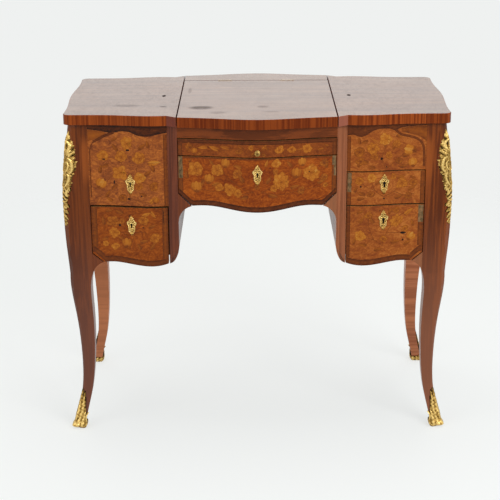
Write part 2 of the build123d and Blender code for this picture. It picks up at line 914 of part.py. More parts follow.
pedestal_drawers = {
    "left_drawer": dict(
        outline=lowest_drawer_outline(left_drawer_top, left_drawer_side_gap),
        top=left_drawer_top,
        floor=pedestal_floor,
        plate_drop=left_plate_drop,
        sign=-1,
    ),
    "right_upper_drawer": dict(
        outline=right_upper_outline,
        top=right_upper_top,
        floor=divider_top,
        plate_drop=right_upper_plate_drop,
        sign=1,
    ),
    "right_lower_drawer": dict(
        outline=lowest_drawer_outline(right_lower_top, reveal),
        top=right_lower_top,
        floor=pedestal_floor,
        plate_drop=right_lower_plate_drop,
        sign=1,
    ),
}
box_inner_x = inner_guide[1] + guide_play
box_outer_x = outer_guide[0] - guide_play
pieces = {}
for name, drawer in pedestal_drawers.items():
    made = {
        "front": drawer_front(drawer["outline"], plate_x, drawer["top"]),
        "box": drawer_box(
            box_inner_x, box_outer_x, side_drawer_back, drawer["floor"], drawer["top"] - headroom
        ),
        "escutcheon": escutcheon(plate_x, drawer["top"] - drawer["plate_drop"]),
        "lock": lock_case(plate_x, drawer["top"]),
    }
    for kind, part in made.items():
        pieces[name + "_" + kind] = mirrored(part) if drawer["sign"] < 0 else part

false_escutcheon = mirrored(escutcheon(plate_x, case_top - false_plate_drop))

# ---- Gilt bronze on the corners --------
corner_diagonal = Plane(
    origin=(top_corner_x, -top_corner_depth, 0), x_dir=(1, 1, 0), z_dir=(1, -1, 0)
)
mount_top = case_top - mount_top_drop
mount_shell = case_top - mount_shell_drop
mount_bottom = case_top - mount_bottom_drop

with BuildPart() as right_corner_mount:
    for station in post_stations:
        add(post_section(station, mount_thickness))
    loft()
    with BuildSketch(corner_diagonal):
        with BuildLine():
            Spline(
                (0, mount_bottom),
                (mount_stem, mount_bottom + mount_tail),
                (mount_stem, mount_shell - mount_neck),
                (mount_half_width, mount_shell),
                (mount_stem, mount_shell + mount_crown),
                (0, mount_top),
                tangents=[(1, 0.4), (-1, 0.4)],
            )
            mirror(about=Plane.YZ)
        make_face()
    extrude(amount=sheet / 4, both=True, mode=Mode.INTERSECT)
    add(front_right_leg.part, mode=Mode.SUBTRACT)

with BuildPart() as left_corner_mount:
    mirror(right_corner_mount.part, about=Plane.YZ)

with BuildPart() as sabot:
    for station in leg_stations:
        add(leg_section(station, sabot_thickness))
    loft()
    with BuildSketch(corner_diagonal):
        with BuildLine():
            cut = foot_room / 2
            Polyline((-cut, 0), (cut, 0), (cut, sabot_inner), (0, sabot_tip), (-cut, sabot_inner), close=True)
        make_face()
    extrude(amount=sheet / 4, both=True, mode=Mode.INTERSECT)
    add(front_right_leg.part, mode=Mode.SUBTRACT)

with BuildPart() as front_sabots:
    add(sabot.part)
    mirror(sabot.part, about=Plane.YZ)

with BuildPart() as rear_sabots:
    mirror(front_sabots.part, about=Plane.XZ)

# ---- Write one file for each piece --------
pieces.update(
    {
        "front_left_leg": front_left_leg.part,
        "front_right_leg": front_right_leg.part,
        "rear_left_leg": rear_left_leg.part,
        "rear_right_leg": rear_right_leg.part,
        "left_side_panel": left_side_panel.part,
        "right_side_panel": right_side_panel.part,
        "left_inner_side": left_inner_side.part,
        "right_inner_side": right_inner_side.part,
        "front_left_stile": front_left_stile.part,
        "front_right_stile": front_right_stile.part,
        "rear_stiles": rear_stiles.part,
        "pedestal_backs": pedestal_backs.part,
        "centre_back": centre_back,
        "left_false_front": left_false_front,
        "right_false_front": right_false_front,
        "centre_rail": centre_rail,
        "corner_brackets": corner_brackets.part,
        "left_well_bottom": left_well_bottom,
        "right_well_bottom": right_well_bottom,
        "mirror_well": mirror_well.part,
        "slide_bed": slide_bed,
        "right_drawer_divider": right_drawer_divider,
        "pedestal_bottoms": pedestal_bottoms.part,
        "drawer_runners": drawer_runners.part,
        "rear_top_strip": rear_top_strip.part,
        "left_corner_mount": left_corner_mount.part,
        "right_corner_mount": right_corner_mount.part,
        "front_sabots": front_sabots.part,
        "rear_sabots": rear_sabots.part,
        "false_escutcheon": false_escutcheon,
        "lid_hinge_plates": lid_hinge_plates.part,
        "wing_hinge_plates": wing_hinge_plates.part,
        "lid_panel": lid_panel.part,
        "mirror_glass": mirror_glass,
        "mirror_moulding": mirror_moulding.part,
        "lid_hinge_leaves": lid_hinge_leaves.part,
        "left_wing_panel": left_wing_panel.part,
        "left_wing_hinge_leaves": left_wing_hinge_leaves.part,
        "right_wing_panel": right_wing_panel.part,
        "right_wing_hinge_leaves": right_wing_hinge_leaves.part,
        "slide_board": slide_board.part,
        "slide_leather": slide_leather,
        "slide_front": slide_front,
        "slide_knob": slide_knob.part,
        "centre_drawer_front": centre_drawer_front,
        "centre_drawer_box": centre_drawer_box,
        "centre_drawer_escutcheon": centre_drawer_escutcheon,
        "centre_drawer_lock": centre_drawer_lock,
    }
)

os.makedirs("parts", exist_ok=True)
for name, part in pieces.items():
    part.label = name
    export_step(part, "parts/" + name + ".step")
    print(name, round(part.volume))
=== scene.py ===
# %% [markdown]
# # Poudreuse dressing table
# A poudreuse is a small table for powder, combs and mirrors. Its case is oak, and everything that
# shows is veneer, floral marquetry or gilt bronze. The packed CAD model holds every board, drawer,
# hinge and lock at its real size. This lesson dresses it: smooth veneered surfaces over the CAD's
# flat facets, petals and leaves cut one by one, and castings in relief.

# %% Load the frame
import json
import math

import bmesh
import bpy
import numpy as np
from mathutils import Matrix, Vector


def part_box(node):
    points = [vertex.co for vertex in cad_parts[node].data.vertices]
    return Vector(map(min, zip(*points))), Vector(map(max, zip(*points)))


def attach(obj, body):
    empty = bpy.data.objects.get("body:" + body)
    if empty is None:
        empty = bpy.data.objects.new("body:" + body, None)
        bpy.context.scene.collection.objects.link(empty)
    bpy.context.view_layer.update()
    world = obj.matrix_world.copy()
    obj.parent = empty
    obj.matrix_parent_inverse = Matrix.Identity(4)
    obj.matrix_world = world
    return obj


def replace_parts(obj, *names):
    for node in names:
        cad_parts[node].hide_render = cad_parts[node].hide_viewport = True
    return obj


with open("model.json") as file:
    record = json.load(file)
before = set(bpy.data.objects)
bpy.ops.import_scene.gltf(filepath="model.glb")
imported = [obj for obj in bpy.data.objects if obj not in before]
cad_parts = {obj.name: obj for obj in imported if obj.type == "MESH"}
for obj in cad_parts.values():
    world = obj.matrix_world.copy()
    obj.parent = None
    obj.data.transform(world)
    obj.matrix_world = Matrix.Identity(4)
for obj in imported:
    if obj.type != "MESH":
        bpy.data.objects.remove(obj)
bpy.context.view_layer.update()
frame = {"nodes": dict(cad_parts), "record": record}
nodes = frame["nodes"]
mm = 0.001
body_of = {
    node: body
    for body, members in frame["record"]["behaviour"]["bodies"].items()
    for node in members
}
slot_of = {row["node"]: row["material_slot"] for row in frame["record"]["subparts"]}

# %% [markdown]
# ## Camera
# The table is seen from in front, a little above its top, with a long lens. Blender's camera looks
# down its own -Z, so its matrix is built from three directions: right, up and backwards.

# %% Camera
camera_place = (-0.01693, -3.12874, 1.42694)
pitch = math.radians(18.667)
roll = math.radians(0.273)
picture_size = 500.0
focal_pixels = 1370.0
sensor_width = 36.0

forward = np.array([0.0, math.cos(pitch), -math.sin(pitch)])
level_right = np.array([1.0, 0.0, 0.0])
level_down = np.array([0.0, -math.sin(pitch), -math.cos(pitch)])
right = math.cos(roll) * level_right + math.sin(roll) * level_down
down = math.cos(roll) * level_down - math.sin(roll) * level_right

camera_data = bpy.data.cameras.new("camera")
camera_data.lens = sensor_width * focal_pixels / picture_size
camera_data.sensor_width = sensor_width
camera = bpy.data.objects.new("camera", camera_data)
bpy.context.scene.collection.objects.link(camera)
turn = np.eye(4)
turn[:3, 0], turn[:3, 1], turn[:3, 2], turn[:3, 3] = right, -down, -forward, camera_place
camera.matrix_world = Matrix(turn.tolist())
bpy.context.scene.camera = camera
print("lens", round(camera_data.lens, 1), "mm")

# %% [markdown]
# ## Shader maths as Python
# A finish is a material whose nodes are made by one method. Each node's output comes back as a
# `Field`, a number or colour that varies over the surface, and `+ - *` on fields add Math nodes.

# %% Fields and finishes
class Field:
    """One output of a node, with arithmetic."""

    def __init__(self, finish, socket):
        self.finish = finish
        self.socket = socket

    def maths(self, operation, other=0.0, swapped=False):
        pair = (other, self) if swapped else (self, other)
        return self.finish.node("ShaderNodeMath", {"operation": operation}, {0: pair[0], 1: pair[1]})

    def __add__(self, other):
        return self.maths("ADD", other)

    def __sub__(self, other):
        return self.maths("SUBTRACT", other)

    def __rsub__(self, other):
        return self.maths("SUBTRACT", other, swapped=True)

    def __mul__(self, other):
        return self.maths("MULTIPLY", other)

    __radd__ = __add__
    __rmul__ = __mul__


class Finish:
    """A material: constants go on the shader's own sockets, and fields are linked to them."""

    def __init__(self, name, **constants):
        self.material = bpy.data.materials.new(name)
        self.material.use_nodes = True
        self.tree = self.material.node_tree
        self.shader = self.tree.nodes["Principled BSDF"]
        self.put(self.shader, {socket.replace("_", " "): value for socket, value in constants.items()})

    def put(self, node, sockets):
        for socket, value in sockets.items():
            if isinstance(value, Field):
                self.tree.links.new(value.socket, node.inputs[socket])
            else:
                node.inputs[socket].default_value = value

    def node(self, kind, settings=None, sockets=None, output=0):
        """A node of any kind. Its settings come first, and a ramp's stops are one of them."""
        node = self.tree.nodes.new(kind)
        for setting, value in (settings or {}).items():
            if setting == "stops":
                ramp = node.color_ramp
                while len(ramp.elements) < len(value):
                    ramp.elements.new(1.0)
                for element, (place, tone) in zip(ramp.elements, value):
                    element.position = place
                    element.color = tone if len(tone) == 4 else (*tone, 1.0)
            else:
                setattr(node, setting, value)
        self.put(node, sockets or {})
        return Field(self, node.outputs[output])

    def noise(self, scale, detail=3.0, roughness=0.6, distortion=0.0, kind="Object"):
        """Smooth noise about 0.5 on object coordinates or the UV map. The scale is one number, or one
        for each axis."""
        sockets = {
            "Vector": self.node("ShaderNodeTexCoord", output=kind),
            "Scale": tuple(np.broadcast_to(scale, 3).tolist()),
        }
        place = self.node("ShaderNodeMapping", sockets=sockets)
        sockets = {"Vector": place, "Detail": detail, "Roughness": roughness, "Distortion": distortion}
        return self.node("ShaderNodeTexNoise", sockets={"Scale": 1.0, **sockets})

    def attribute(self, name):
        return self.node("ShaderNodeAttribute", {"attribute_name": name}, output="Fac")

    def ramp(self, value, *stops):
        return self.node("ShaderNodeValToRGB", {"stops": stops}, {"Fac": value})

    def between(self, value, low, high):
        """0 below low, 1 above high and smooth in between."""
        return self.node(
            "ShaderNodeMapRange",
            {"interpolation_type": "SMOOTHSTEP"},
            {"Value": value, "From Min": low, "From Max": high},
        )

    def mix(self, share, first, second):
        """A colour between two colours."""
        colours = [c if isinstance(c, Field) else (*c, 1.0) for c in (first, second)]
        return self.node(
            "ShaderNodeMix",
            {"data_type": "RGBA"},
            {0: share, 6: colours[0], 7: colours[1]},
            output=2,
        )

    def spot(self, x, y, wide, deep, softness=0.5):
        """1 inside an ellipse on a level face and 0 outside, by the length of the scaled distance."""
        sockets = {
            "Vector": self.node("ShaderNodeTexCoord", output="Object"),
            "Scale": (1 / wide, 1 / deep, 0.0),
            "Location": (-x / wide, -y / deep, 0.0),
        }
        distance = self.length(self.node("ShaderNodeMapping", sockets=sockets))
        return 1 - self.between(distance, 1 - softness, 1 + softness)

    def length(self, vector):
        return self.node("ShaderNodeVectorMath", {"operation": "LENGTH"}, {0: vector}, output="Value")

    def axis(self, name):
        """One of the object coordinates, X, Y or Z."""
        place = self.node("ShaderNodeTexCoord", output="Object")
        return self.node("ShaderNodeSeparateXYZ", sockets={0: place}, output=name)

    def line(self, value, middle, half, blur=0.0004):
        """1 where the value is within half of the middle."""
        return 1 - self.between((value - middle).maths("ABSOLUTE"), half, half + blur)

    def relief(self, height, distance, strength=1.0):
        """Links a height field to the shader's normal through a Bump node."""
        sockets = {"Height": height, "Distance": distance, "Strength": strength}
        self.put(self.shader, {"Normal": self.node("ShaderNodeBump", sockets=sockets)})

    def cover(self, share, other):
        """Shows another shader over a share of the surface, through a Mix Shader node."""
        own = Field(self, self.shader.outputs[0])
        both = self.node("ShaderNodeMixShader", sockets={0: share, 1: own, 2: other})
        self.put(self.tree.nodes["Material Output"], {"Surface": both})

    def grime_and_shade(self, share, colour):
        """Covers a share of the surface with something dead matt."""
        sockets = {"Color": (*colour, 1.0), "Roughness": 0.6}
        self.cover(share, self.node("ShaderNodeBsdfDiffuse", sockets=sockets))

    def surface(self, **sockets):
        """Links or sets sockets of the shader."""
        self.put(self.shader, {socket.replace("_", " "): value for socket, value in sockets.items()})
        return self.material


print("a finish is made of:", [name for name in vars(Finish) if name[0] != "_"])

# %% Colours
def srgb(red, green, blue):
    """A linear colour from the 0 to 255 numbers of a colour picker: ((c + 0.055) / 1.055) ** 2.4."""
    share = np.array([red, green, blue]) / 255.0
    linear = np.where(share <= 0.04045, share / 12.92, ((share + 0.055) / 1.055) ** 2.4)
    return tuple(float(c) for c in linear)


def darker(colour, share):
    """A colour with only a share of its light."""
    return tuple(share * c for c in colour)


print("mid brown in linear light:", [round(c, 3) for c in srgb(120, 66, 34)])

# %% [markdown]
# ## Studio
# A pale floor and a white surround, as in a saleroom picture. The surround's whiteness is its own
# colour for the camera and for reflections. Diffuse light comes from large soft lamps, the strongest
# from the right in front and above, so colours render about as they are written.

# %% Surround
backdrop_white = srgb(239, 241, 240)
diffuse_share = 0.42


def seen_share(tree):
    """1 for rays that are seen, from the camera, in a mirror or through glass, and 0 for others."""
    path = tree.nodes.new("ShaderNodeLightPath")
    share = path.outputs["Is Camera Ray"]
    for ray in ("Is Glossy Ray", "Is Transmission Ray"):
        either = tree.nodes.new("ShaderNodeMath")
        either.operation = "MAXIMUM"
        tree.links.new(share, either.inputs[0])
        tree.links.new(path.outputs[ray], either.inputs[1])
        share = either.outputs[0]
    return share


world = bpy.data.worlds.new("studio")
bpy.context.scene.world = world
world.use_nodes = True
sky = world.node_tree
background = sky.nodes["Background"]
background.inputs["Color"].default_value = (*backdrop_white, 1.0)
strength = sky.nodes.new("ShaderNodeMapRange")
strength.inputs["To Min"].default_value = diffuse_share
strength.inputs["To Max"].default_value = 1.0
sky.links.new(seen_share(sky), strength.inputs["Value"])
sky.links.new(strength.outputs["Result"], background.inputs["Strength"])
print("the surround lights with", diffuse_share, "of the strength it is seen at")

# %% Lamps
def stand(name, data):
    """A new object in the scene."""
    obj = bpy.data.objects.new(name, data)
    bpy.context.scene.collection.objects.link(obj)
    return obj


def soft_lamp(name, place, aim, size, power):
    """A square area lamp that faces a point."""
    data = bpy.data.lights.new(name, "AREA")
    data.shape = "SQUARE"
    data.size = size
    data.energy = power
    lamp = stand(name, data)
    lamp.location = place
    backward = Vector(place) - Vector(aim)
    lamp.rotation_euler = backward.to_track_quat("Z", "Y").to_euler()
    return lamp


case_middle = (0.0, 0.0, 0.45)
lamps = [
    soft_lamp("key", (1.7, -2.3, 2.3), case_middle, 1.8, 46.0),
    soft_lamp("fill", (-2.3, -2.0, 1.5), case_middle, 2.0, 18.0),
    soft_lamp("overhead", (0.0, 0.5, 2.9), (0.0, 0.0, 0.6), 2.4, 34.0),
]
print("lamps:", [lamp.name for lamp in lamps])

# %% Floor
floor_radius = 2.6
floor_corners = 64
floor_drop = 0.0004
fade_from, fade_to = 1.3, 2.4
floor_glow = 0.72
floor_grey = srgb(152, 154, 153)

angles = np.linspace(0, 2 * np.pi, floor_corners + 1)[:-1]
disc = np.stack([np.cos(angles), np.sin(angles), 0 * angles - floor_drop / floor_radius], 1) * floor_radius
floor_mesh = bpy.data.meshes.new("floor")
floor_mesh.from_pydata(disc.tolist(), [], [tuple(range(floor_corners))])
stand("floor", floor_mesh)
paper = Finish("floor_paper", Roughness=1.0, Base_Color=(*floor_grey, 1.0))
glow = Field(paper, seen_share(paper.tree)) * floor_glow
paper.surface(Emission_Color=(*backdrop_white, 1.0), Emission_Strength=glow)
from_middle = paper.length(paper.node("ShaderNodeTexCoord", output="Object"))
paper.cover(paper.between(from_middle, fade_from, fade_to), paper.node("ShaderNodeBsdfTransparent"))
floor_mesh.materials.append(paper.material)
bpy.context.scene.view_settings.view_transform = "Standard"
print("floor", 2 * floor_radius, "m across")

# %% [markdown]
# ## Meshes from arrays
# Every new surface is a grid of points worked out by numpy. Thin inlays and castings are closed
# bodies: a row of sections, each a loop of points, joined side by side and capped at both ends.

# %% Arrays into meshes
def section_faces(sections, loop):
    """Quads of a closed body made of `sections` loops of `loop` points (an even number).
    Point j of a loop joins point j of the next, and each end is capped by a strip of quads from
    point j to its partner loop - 1 - j."""
    row = np.arange(sections - 1)[:, None] * loop
    j = np.arange(loop)[None, :]
    k = (j + 1) % loop
    sides = np.stack([row + j, row + k, row + loop + k, row + loop + j], -1).reshape(-1, 4)
    c = np.arange(loop // 2 - 1)
    start = np.stack([c, loop - 1 - c, loop - 2 - c, c + 1], -1)
    last = (sections - 1) * loop
    end = np.stack([c, c + 1, loop - 2 - c, loop - 1 - c], -1) + last
    return np.concatenate([sides, start, end])


def enclosed_volume(points, faces):
    """Sum of the signed tetrahedra from the origin to each half of each quad."""
    a, b, c, d = (points[faces[:, i]] for i in range(4))
    halves = np.cross(b - a, c - a), np.cross(c - a, d - a)
    return float(sum((a * half).sum() for half in halves)) / 6


print("a body of 3 loops of 4 points has", len(section_faces(3, 4)), "faces")

# %% [markdown]
# The CAD's curved faces are cut into flat triangles, which show in a polished finish. A planed copy
# merges the triangles' corners and shades them smoothly, with edges kept sharp where two faces meet
# at more than a given angle. It has the CAD's exact shape and stands for the node.

# %% Planed copies
weld = 0.00002


def dress_node(node, material):
    """Gives a CAD node one material and keeps its mesh."""
    nodes[node].data.materials.clear()
    nodes[node].data.materials.append(material)


def planed(node, materials, choose=None, angle=28.0, shape=None):
    """A smooth copy of a CAD node. choose gives each face's material number from its normal, and
    shape may move its points."""
    mesh = nodes[node].data.copy()
    mesh.name = node + "_planed"
    work = bmesh.new()
    work.from_mesh(mesh)
    bmesh.ops.remove_doubles(work, verts=work.verts, dist=weld)
    bmesh.ops.dissolve_degenerate(work, edges=work.edges, dist=weld)
    work.to_mesh(mesh)
    work.free()
    if shape:
        points = np.zeros(len(mesh.vertices) * 3)
        mesh.vertices.foreach_get("co", points)
        mesh.vertices.foreach_set("co", shape(points.reshape(-1, 3)).ravel())
    mesh.materials.clear()
    for material in materials:
        mesh.materials.append(material)
    mesh.polygons.foreach_set("use_smooth", np.full(len(mesh.polygons), True))
    mesh.set_sharp_from_angle(angle=math.radians(angle))
    numbers = np.zeros(len(mesh.polygons), np.int32)
    if choose is not None:
        normals = np.zeros(len(mesh.polygons) * 3, np.float32)
        mesh.polygons.foreach_get("normal", normals)
        numbers = choose(normals.reshape(-1, 3)).astype(np.int32)
    mesh.polygons.foreach_set("material_index", numbers)
    obj = stand(node + "_planed", mesh)
    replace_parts(obj, node)
    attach(obj, body_of[node])
    return obj


def corners(node):
    """The corner points of a CAD node's mesh, and the normal and corners of each of its triangles."""
    mesh = nodes[node].data
    points = np.zeros(len(mesh.vertices) * 3)
    mesh.vertices.foreach_get("co", points)
    points = points.reshape(-1, 3)
    faces = np.zeros(len(mesh.polygons) * 3, np.int32)
    mesh.polygons.foreach_get("vertices", faces)
    faces = faces.reshape(-1, 3)
    a, b, c = (points[faces[:, i]] for i in range(3))
    normals = np.cross(b - a, c - a)
    normals /= np.linalg.norm(normals, axis=1, keepdims=True) + 1e-12
    return points, faces, normals


print("right leg:", len(corners("front_right_leg")[0]), "corners")

# %% [markdown]
# ## Wood
# A board is pores and figure drawn out along its grain. One finish covers all the plain woods: noise
# on Object coordinates, squeezed along one axis, runs through a board as real grain does. Old polish
# is a thin coat with its own gloss, and it has dulled unevenly.

# %% Grain
along_grain = 2.2
across_grain = 38.0
axes = {"x": 0, "y": 1, "z": 2}


def stretched(axis, along, across):
    """A scale that draws a pattern out along one axis."""
    scale = [across] * 3
    scale[axes[axis]] = along
    return tuple(scale)


def wood(name, axis, light, dark, figure=1.0, gloss=0.32, strips=0.0, shine=0.18, dress=None):
    """Polished wood. figure is the strength of its pattern, and strips gives crossbanding its joints:
    a tone that changes from strip to strip. shine is how much the wax reflects, and dress may change
    the colour with masks of its own."""
    light, dark = srgb(*light), srgb(*dark)
    finish = Finish(name, Coat_Roughness=0.16, Specular_IOR_Level=shine)
    broad = finish.noise(stretched(axis, along_grain, across_grain), 3, 0.5, 0.6)
    streak = finish.noise(stretched(axis, 6.0, 210.0), 4, 0.6)
    fine = finish.noise(stretched(axis, 30.0, 1100.0), 2, 0.6)
    cloud = finish.noise(5.0, 2, 0.5)
    tone = broad * (0.75 * figure) + streak * (0.6 * figure) + (0.5 - 0.675 * figure)
    if strips:
        joint = finish.noise(stretched(axis, 0.6, 210.0), 3, 0.7)
        tone = tone * (1 - strips) + finish.between(joint, 0.32, 0.68) * strips
    shade = finish.between(tone, 0.4, 0.6)
    colour = finish.mix(shade, dark, light)
    open_pores = finish.between(fine, 0.56, 0.7) * 0.35
    colour = finish.mix(open_pores, colour, darker(dark, 0.45))
    colour = finish.mix(finish.between(cloud, 0.4, 0.65) * 0.3, colour, darker(light, 0.62))
    if dress:
        colour = dress(finish, colour)
    finish.relief(1.0 - open_pores, 0.00006)
    rough = finish.noise(9.0, 3, 0.6) * 0.16 + (gloss - 0.08)
    return finish.surface(Base_Color=colour, Roughness=rough)


print("the figure is drawn out", round(across_grain / along_grain, 1), "times along the grain")

# %% [markdown]
# ### Patches, fading, wear and painted light
# Old veneer is patched with newer pieces, fades lower down, and keeps the marks of what stood on it.
# Several woods are also painted darker on the left, as shade, and lighter on the right, as light
# from the right. Each helper here changes a wood's colour through masks: smooth steps and ellipses
# in object coordinates, which stay where they are when a leaf or a drawer is moved.

# %% Patches and fading
# the legs' lower tone, painted darker on the left, as shade, and lighter on the right, as light
faded_shaded_west, faded_lit_east = srgb(134, 88, 74), srgb(168, 110, 84)
fade_height = (0.2, 0.56)
# where a patch's mask rises from 0 to 1, and where it falls back
patch_height = ((0.575, 0.625), (0.672, 0.706))
patch_width = ((0.371, 0.373), (0.386, 0.389))
seam_width = ((0.3685, 0.3695), (0.3705, 0.3715))


def east(finish):
    """0 on the left half of the table and 1 on the right. Several woods use it to paint the left darker,
    as shade, and the right lighter, as light from the right.
    """
    return finish.between(finish.axis("X"), -0.1, 0.1)


def eastward(finish, west_tone, east_tone):
    """One tone on the left half and another on the right."""
    return finish.mix(east(finish), west_tone, east_tone)


def window(finish, value, rise, fall):
    """Rises from 0 to 1 over one stretch of the value and falls back over another."""
    return finish.between(value, *rise) * (1 - finish.between(value, *fall))


def post_patches_and_shade(finish, colour):
    """Renewed veneer beside the fronts is orange, and the legs fade to a cool rose brown lower down.
    The left posts are painted darker, as shade, and the faded tone is lighter on the right, as light
    from the right. A mask is a product of smooth steps in object coordinates."""
    height = finish.axis("Z")
    wide = finish.axis("X").maths("ABSOLUTE")
    upper = window(finish, height, *patch_height)
    strip = window(finish, wide, *patch_width) * upper
    seam = window(finish, wide, *seam_width) * upper
    # painted shade: the left posts are darker
    colour = finish.mix((1 - east(finish)) * 0.28, colour, srgb(74, 34, 14))
    colour = finish.mix(strip * 0.6, colour, srgb(176, 92, 36))
    colour = finish.mix(seam * 0.6, colour, srgb(60, 28, 12))
    faded = eastward(finish, faded_shaded_west, faded_lit_east)
    return finish.mix((1 - finish.between(height, *fade_height)) * 0.62, colour, faded)


def bracket_tone(finish, colour):
    """The knee brackets are renewed: rosy and darker on the left, as painted shade, and pale on the
    right, as painted light.
    """
    return finish.mix(0.5, colour, eastward(finish, srgb(128, 72, 50), srgb(196, 132, 94)))


def rear_tone(finish, colour):
    """The rear legs are paler, the left one most of all."""
    return finish.mix((1 - east(finish)) * 0.4, colour, srgb(246, 158, 108))


print("faded veneer, left and right:", np.round([faded_shaded_west, faded_lit_east], 2).tolist())

# %% Wear and painted joint shade on the top
lid_edge, lid_back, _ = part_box("lid_panel")[1]
joint_step = 0.001
return_end = (0.197, 0.199)
# the middle and half width of the painted shade in the lid's side joints and in the joint behind it
side_joint_shade, back_joint_shade = (lid_edge + 0.0008, 0.0013), (lid_back, 0.0018)
# x, y, half width and half depth of each mark, and how strong a stain is
stains = (
    (-0.1247, -0.1312, 0.024, 0.016, 0.8),
    (0.0137, -0.1241, 0.012, 0.012, 0.36),
    (0.0329, -0.1744, 0.016, 0.007, 0.24),
    (-0.0858, -0.1817, 0.016, 0.012, 0.3),
    (-0.1565, 0.0506, 0.004, 0.03, 0.3),
    (-0.2918, -0.1073, 0.03, 0.011, 0.3),
    (-0.2102, -0.1192, 0.007, 0.006, 0.6),
)
plugs = ((-0.2145, -0.0067, 0.0042, 0.0088), (0.2135, -0.0067, 0.0046, 0.0078))


def beside_lid(finish, wide):
    """0 over the lid and 1 past its sides."""
    return finish.between(wide, lid_edge, lid_edge + joint_step)


def top_wear_and_joint_shade(finish, colour):
    """Years of cups, candles and light: drawn-out streaks, flecks where the polish has gone, ring
    stains and two plugs, and painted shade in the joints. Streaks, haze and flecks dull the polish too."""
    streak = finish.noise((14.0, 64.0, 1.0), 4, 0.66, 1.4)
    haze = finish.noise((9.0, 13.0, 1.0), 4, 0.62, 1.0)
    fleck = finish.noise((110.0, 46.0, 1.0), 4, 0.68, 1.2)
    wide = finish.axis("X").maths("ABSOLUTE")
    wings = beside_lid(finish, wide)
    dull = finish.between(streak, 0.42, 0.62) * 0.2 + finish.between(haze, 0.4, 0.66) * 0.3
    dull = dull + finish.between(fleck, 0.44, 0.64) * 0.3
    # painted shade in the side joints and in the joint behind the lid, then real flecks, stains and plugs
    stains_and_joint_shade = finish.line(wide, *side_joint_shade)
    stains_and_joint_shade = stains_and_joint_shade + finish.line(finish.axis("Y"), *back_joint_shade) * (1 - wings) * 0.8
    stains_and_joint_shade = stains_and_joint_shade + finish.between(fleck, 0.42, 0.66) * (wings * 0.06 + 0.03)
    streaked = finish.between(streak, 0.2, 0.52)
    for *place, strength in stains:
        stains_and_joint_shade = stains_and_joint_shade + finish.spot(*place) * (streaked * (0.85 * strength))
    for place in plugs:
        stains_and_joint_shade = stains_and_joint_shade + finish.spot(*place, 0.15) * 0.95
    # one dark matt cover for the painted joint shade and the real stains, flecks and plugs
    finish.grime_and_shade(stains_and_joint_shade.maths("MINIMUM", 1.0), srgb(42, 30, 32))
    finish.surface(Coat_Weight=(1 - dull * 0.32) * 0.92)
    return finish.mix(dull * 0.6, colour, srgb(112, 92, 88))


def edge_steps(finish, colour):
    """The lid's edge is the darkest, and the small returns beside it are a cooler, rosier piece,
    painted darker on the left, as shade, and lighter on the right, as light.
    """
    wide = finish.axis("X").maths("ABSOLUTE")
    wings = beside_lid(finish, wide)
    returns = wings * (1 - finish.between(wide, *return_end))
    colour = finish.mix((1 - wings) * 0.3, colour, srgb(92, 28, 0))
    return finish.mix(returns * 0.8, colour, eastward(finish, srgb(130, 70, 58), srgb(176, 108, 88)))


print("stains:", len(stains), "plugs:", len(plugs), "side joint at", round(lid_edge / mm, 1), "mm")

# %% The woods
post_wood = wood("post_wood", "z", (152, 76, 28), (100, 44, 12), dress=post_patches_and_shade)
bracket_wood = wood("bracket_wood", "z", (152, 76, 28), (104, 46, 12), dress=bracket_tone)
# The stiles are one wood in two copies: the left painted darker, as shade, and the right lighter, as light
# from the right.
left_stile_wood = wood("left_stile_wood", "z", (140, 74, 48), (104, 52, 34))
right_stile_wood = wood("right_stile_wood", "z", (184, 112, 74), (144, 82, 50))
rail_wood = wood("rail_wood", "x", (142, 70, 28), (100, 46, 14))
back_wood = wood("back_wood", "x", (150, 88, 54), (118, 66, 38))
side_wood = wood("side_wood", "z", (158, 86, 42), (120, 62, 26))
rear_woods = [
    wood(name, axis, (218, 138, 96), (180, 106, 72), figure=0.75, dress=rear_tone)
    for name, axis in (("rear_wood", "x"), ("rear_side_wood", "y"))
]
top_wood = wood(
    "top_wood", "x", (160, 118, 92), (130, 94, 76), gloss=0.34, figure=0.6, shine=0.5, dress=top_wear_and_joint_shade
)
edge_wood = wood(
    "edge_wood", "z", (176, 84, 30), (118, 46, 10), figure=0.5, strips=0.2, shine=0.12, dress=edge_steps
)
oak_woods = [
    wood(name, axis, (160, 122, 78), (120, 88, 54), gloss=0.55)
    for name, axis in (("oak_wood", "x"), ("oak_depth", "y"))
]
print("woods:", [m.name for m in bpy.data.materials if "wood" in m.name])

# %% Boards that keep the CAD's shape
shoe_top = 90 * mm
shoe_fit = 0.1


def fitted_foot(points):
    """The foot is pared down where the shoe goes over it: every point moves towards the middle of
    its level by a share of its distance, shoe_fit low down and nothing at the top of the shoe."""
    level = points[:, 2]
    foot = points[level < shoe_top]
    fits = (np.polynomial.Polynomial.fit(foot[:, 2], foot[:, i], 2) for i in (0, 1))
    middle = np.stack([fit(level) for fit in fits], 1)
    share = shoe_fit * np.clip(1.4 * (1 - level / shoe_top), 0, 1)[:, None]
    moved = points.copy()
    moved[:, :2] += (middle - points[:, :2]) * share
    return moved


def board_direction(normals):
    """0 for faces whose grain runs across the table, 1 for faces where it runs from front to back."""
    return np.where(np.abs(normals[:, 0]) > 0.7, 1, 0)


def top_faces(normals):
    """0 for the upper face, 1 for the edges and 2 for the underside."""
    return np.where(normals[:, 2] > 0.95, 0, np.where(normals[:, 2] < -0.95, 2, 1))


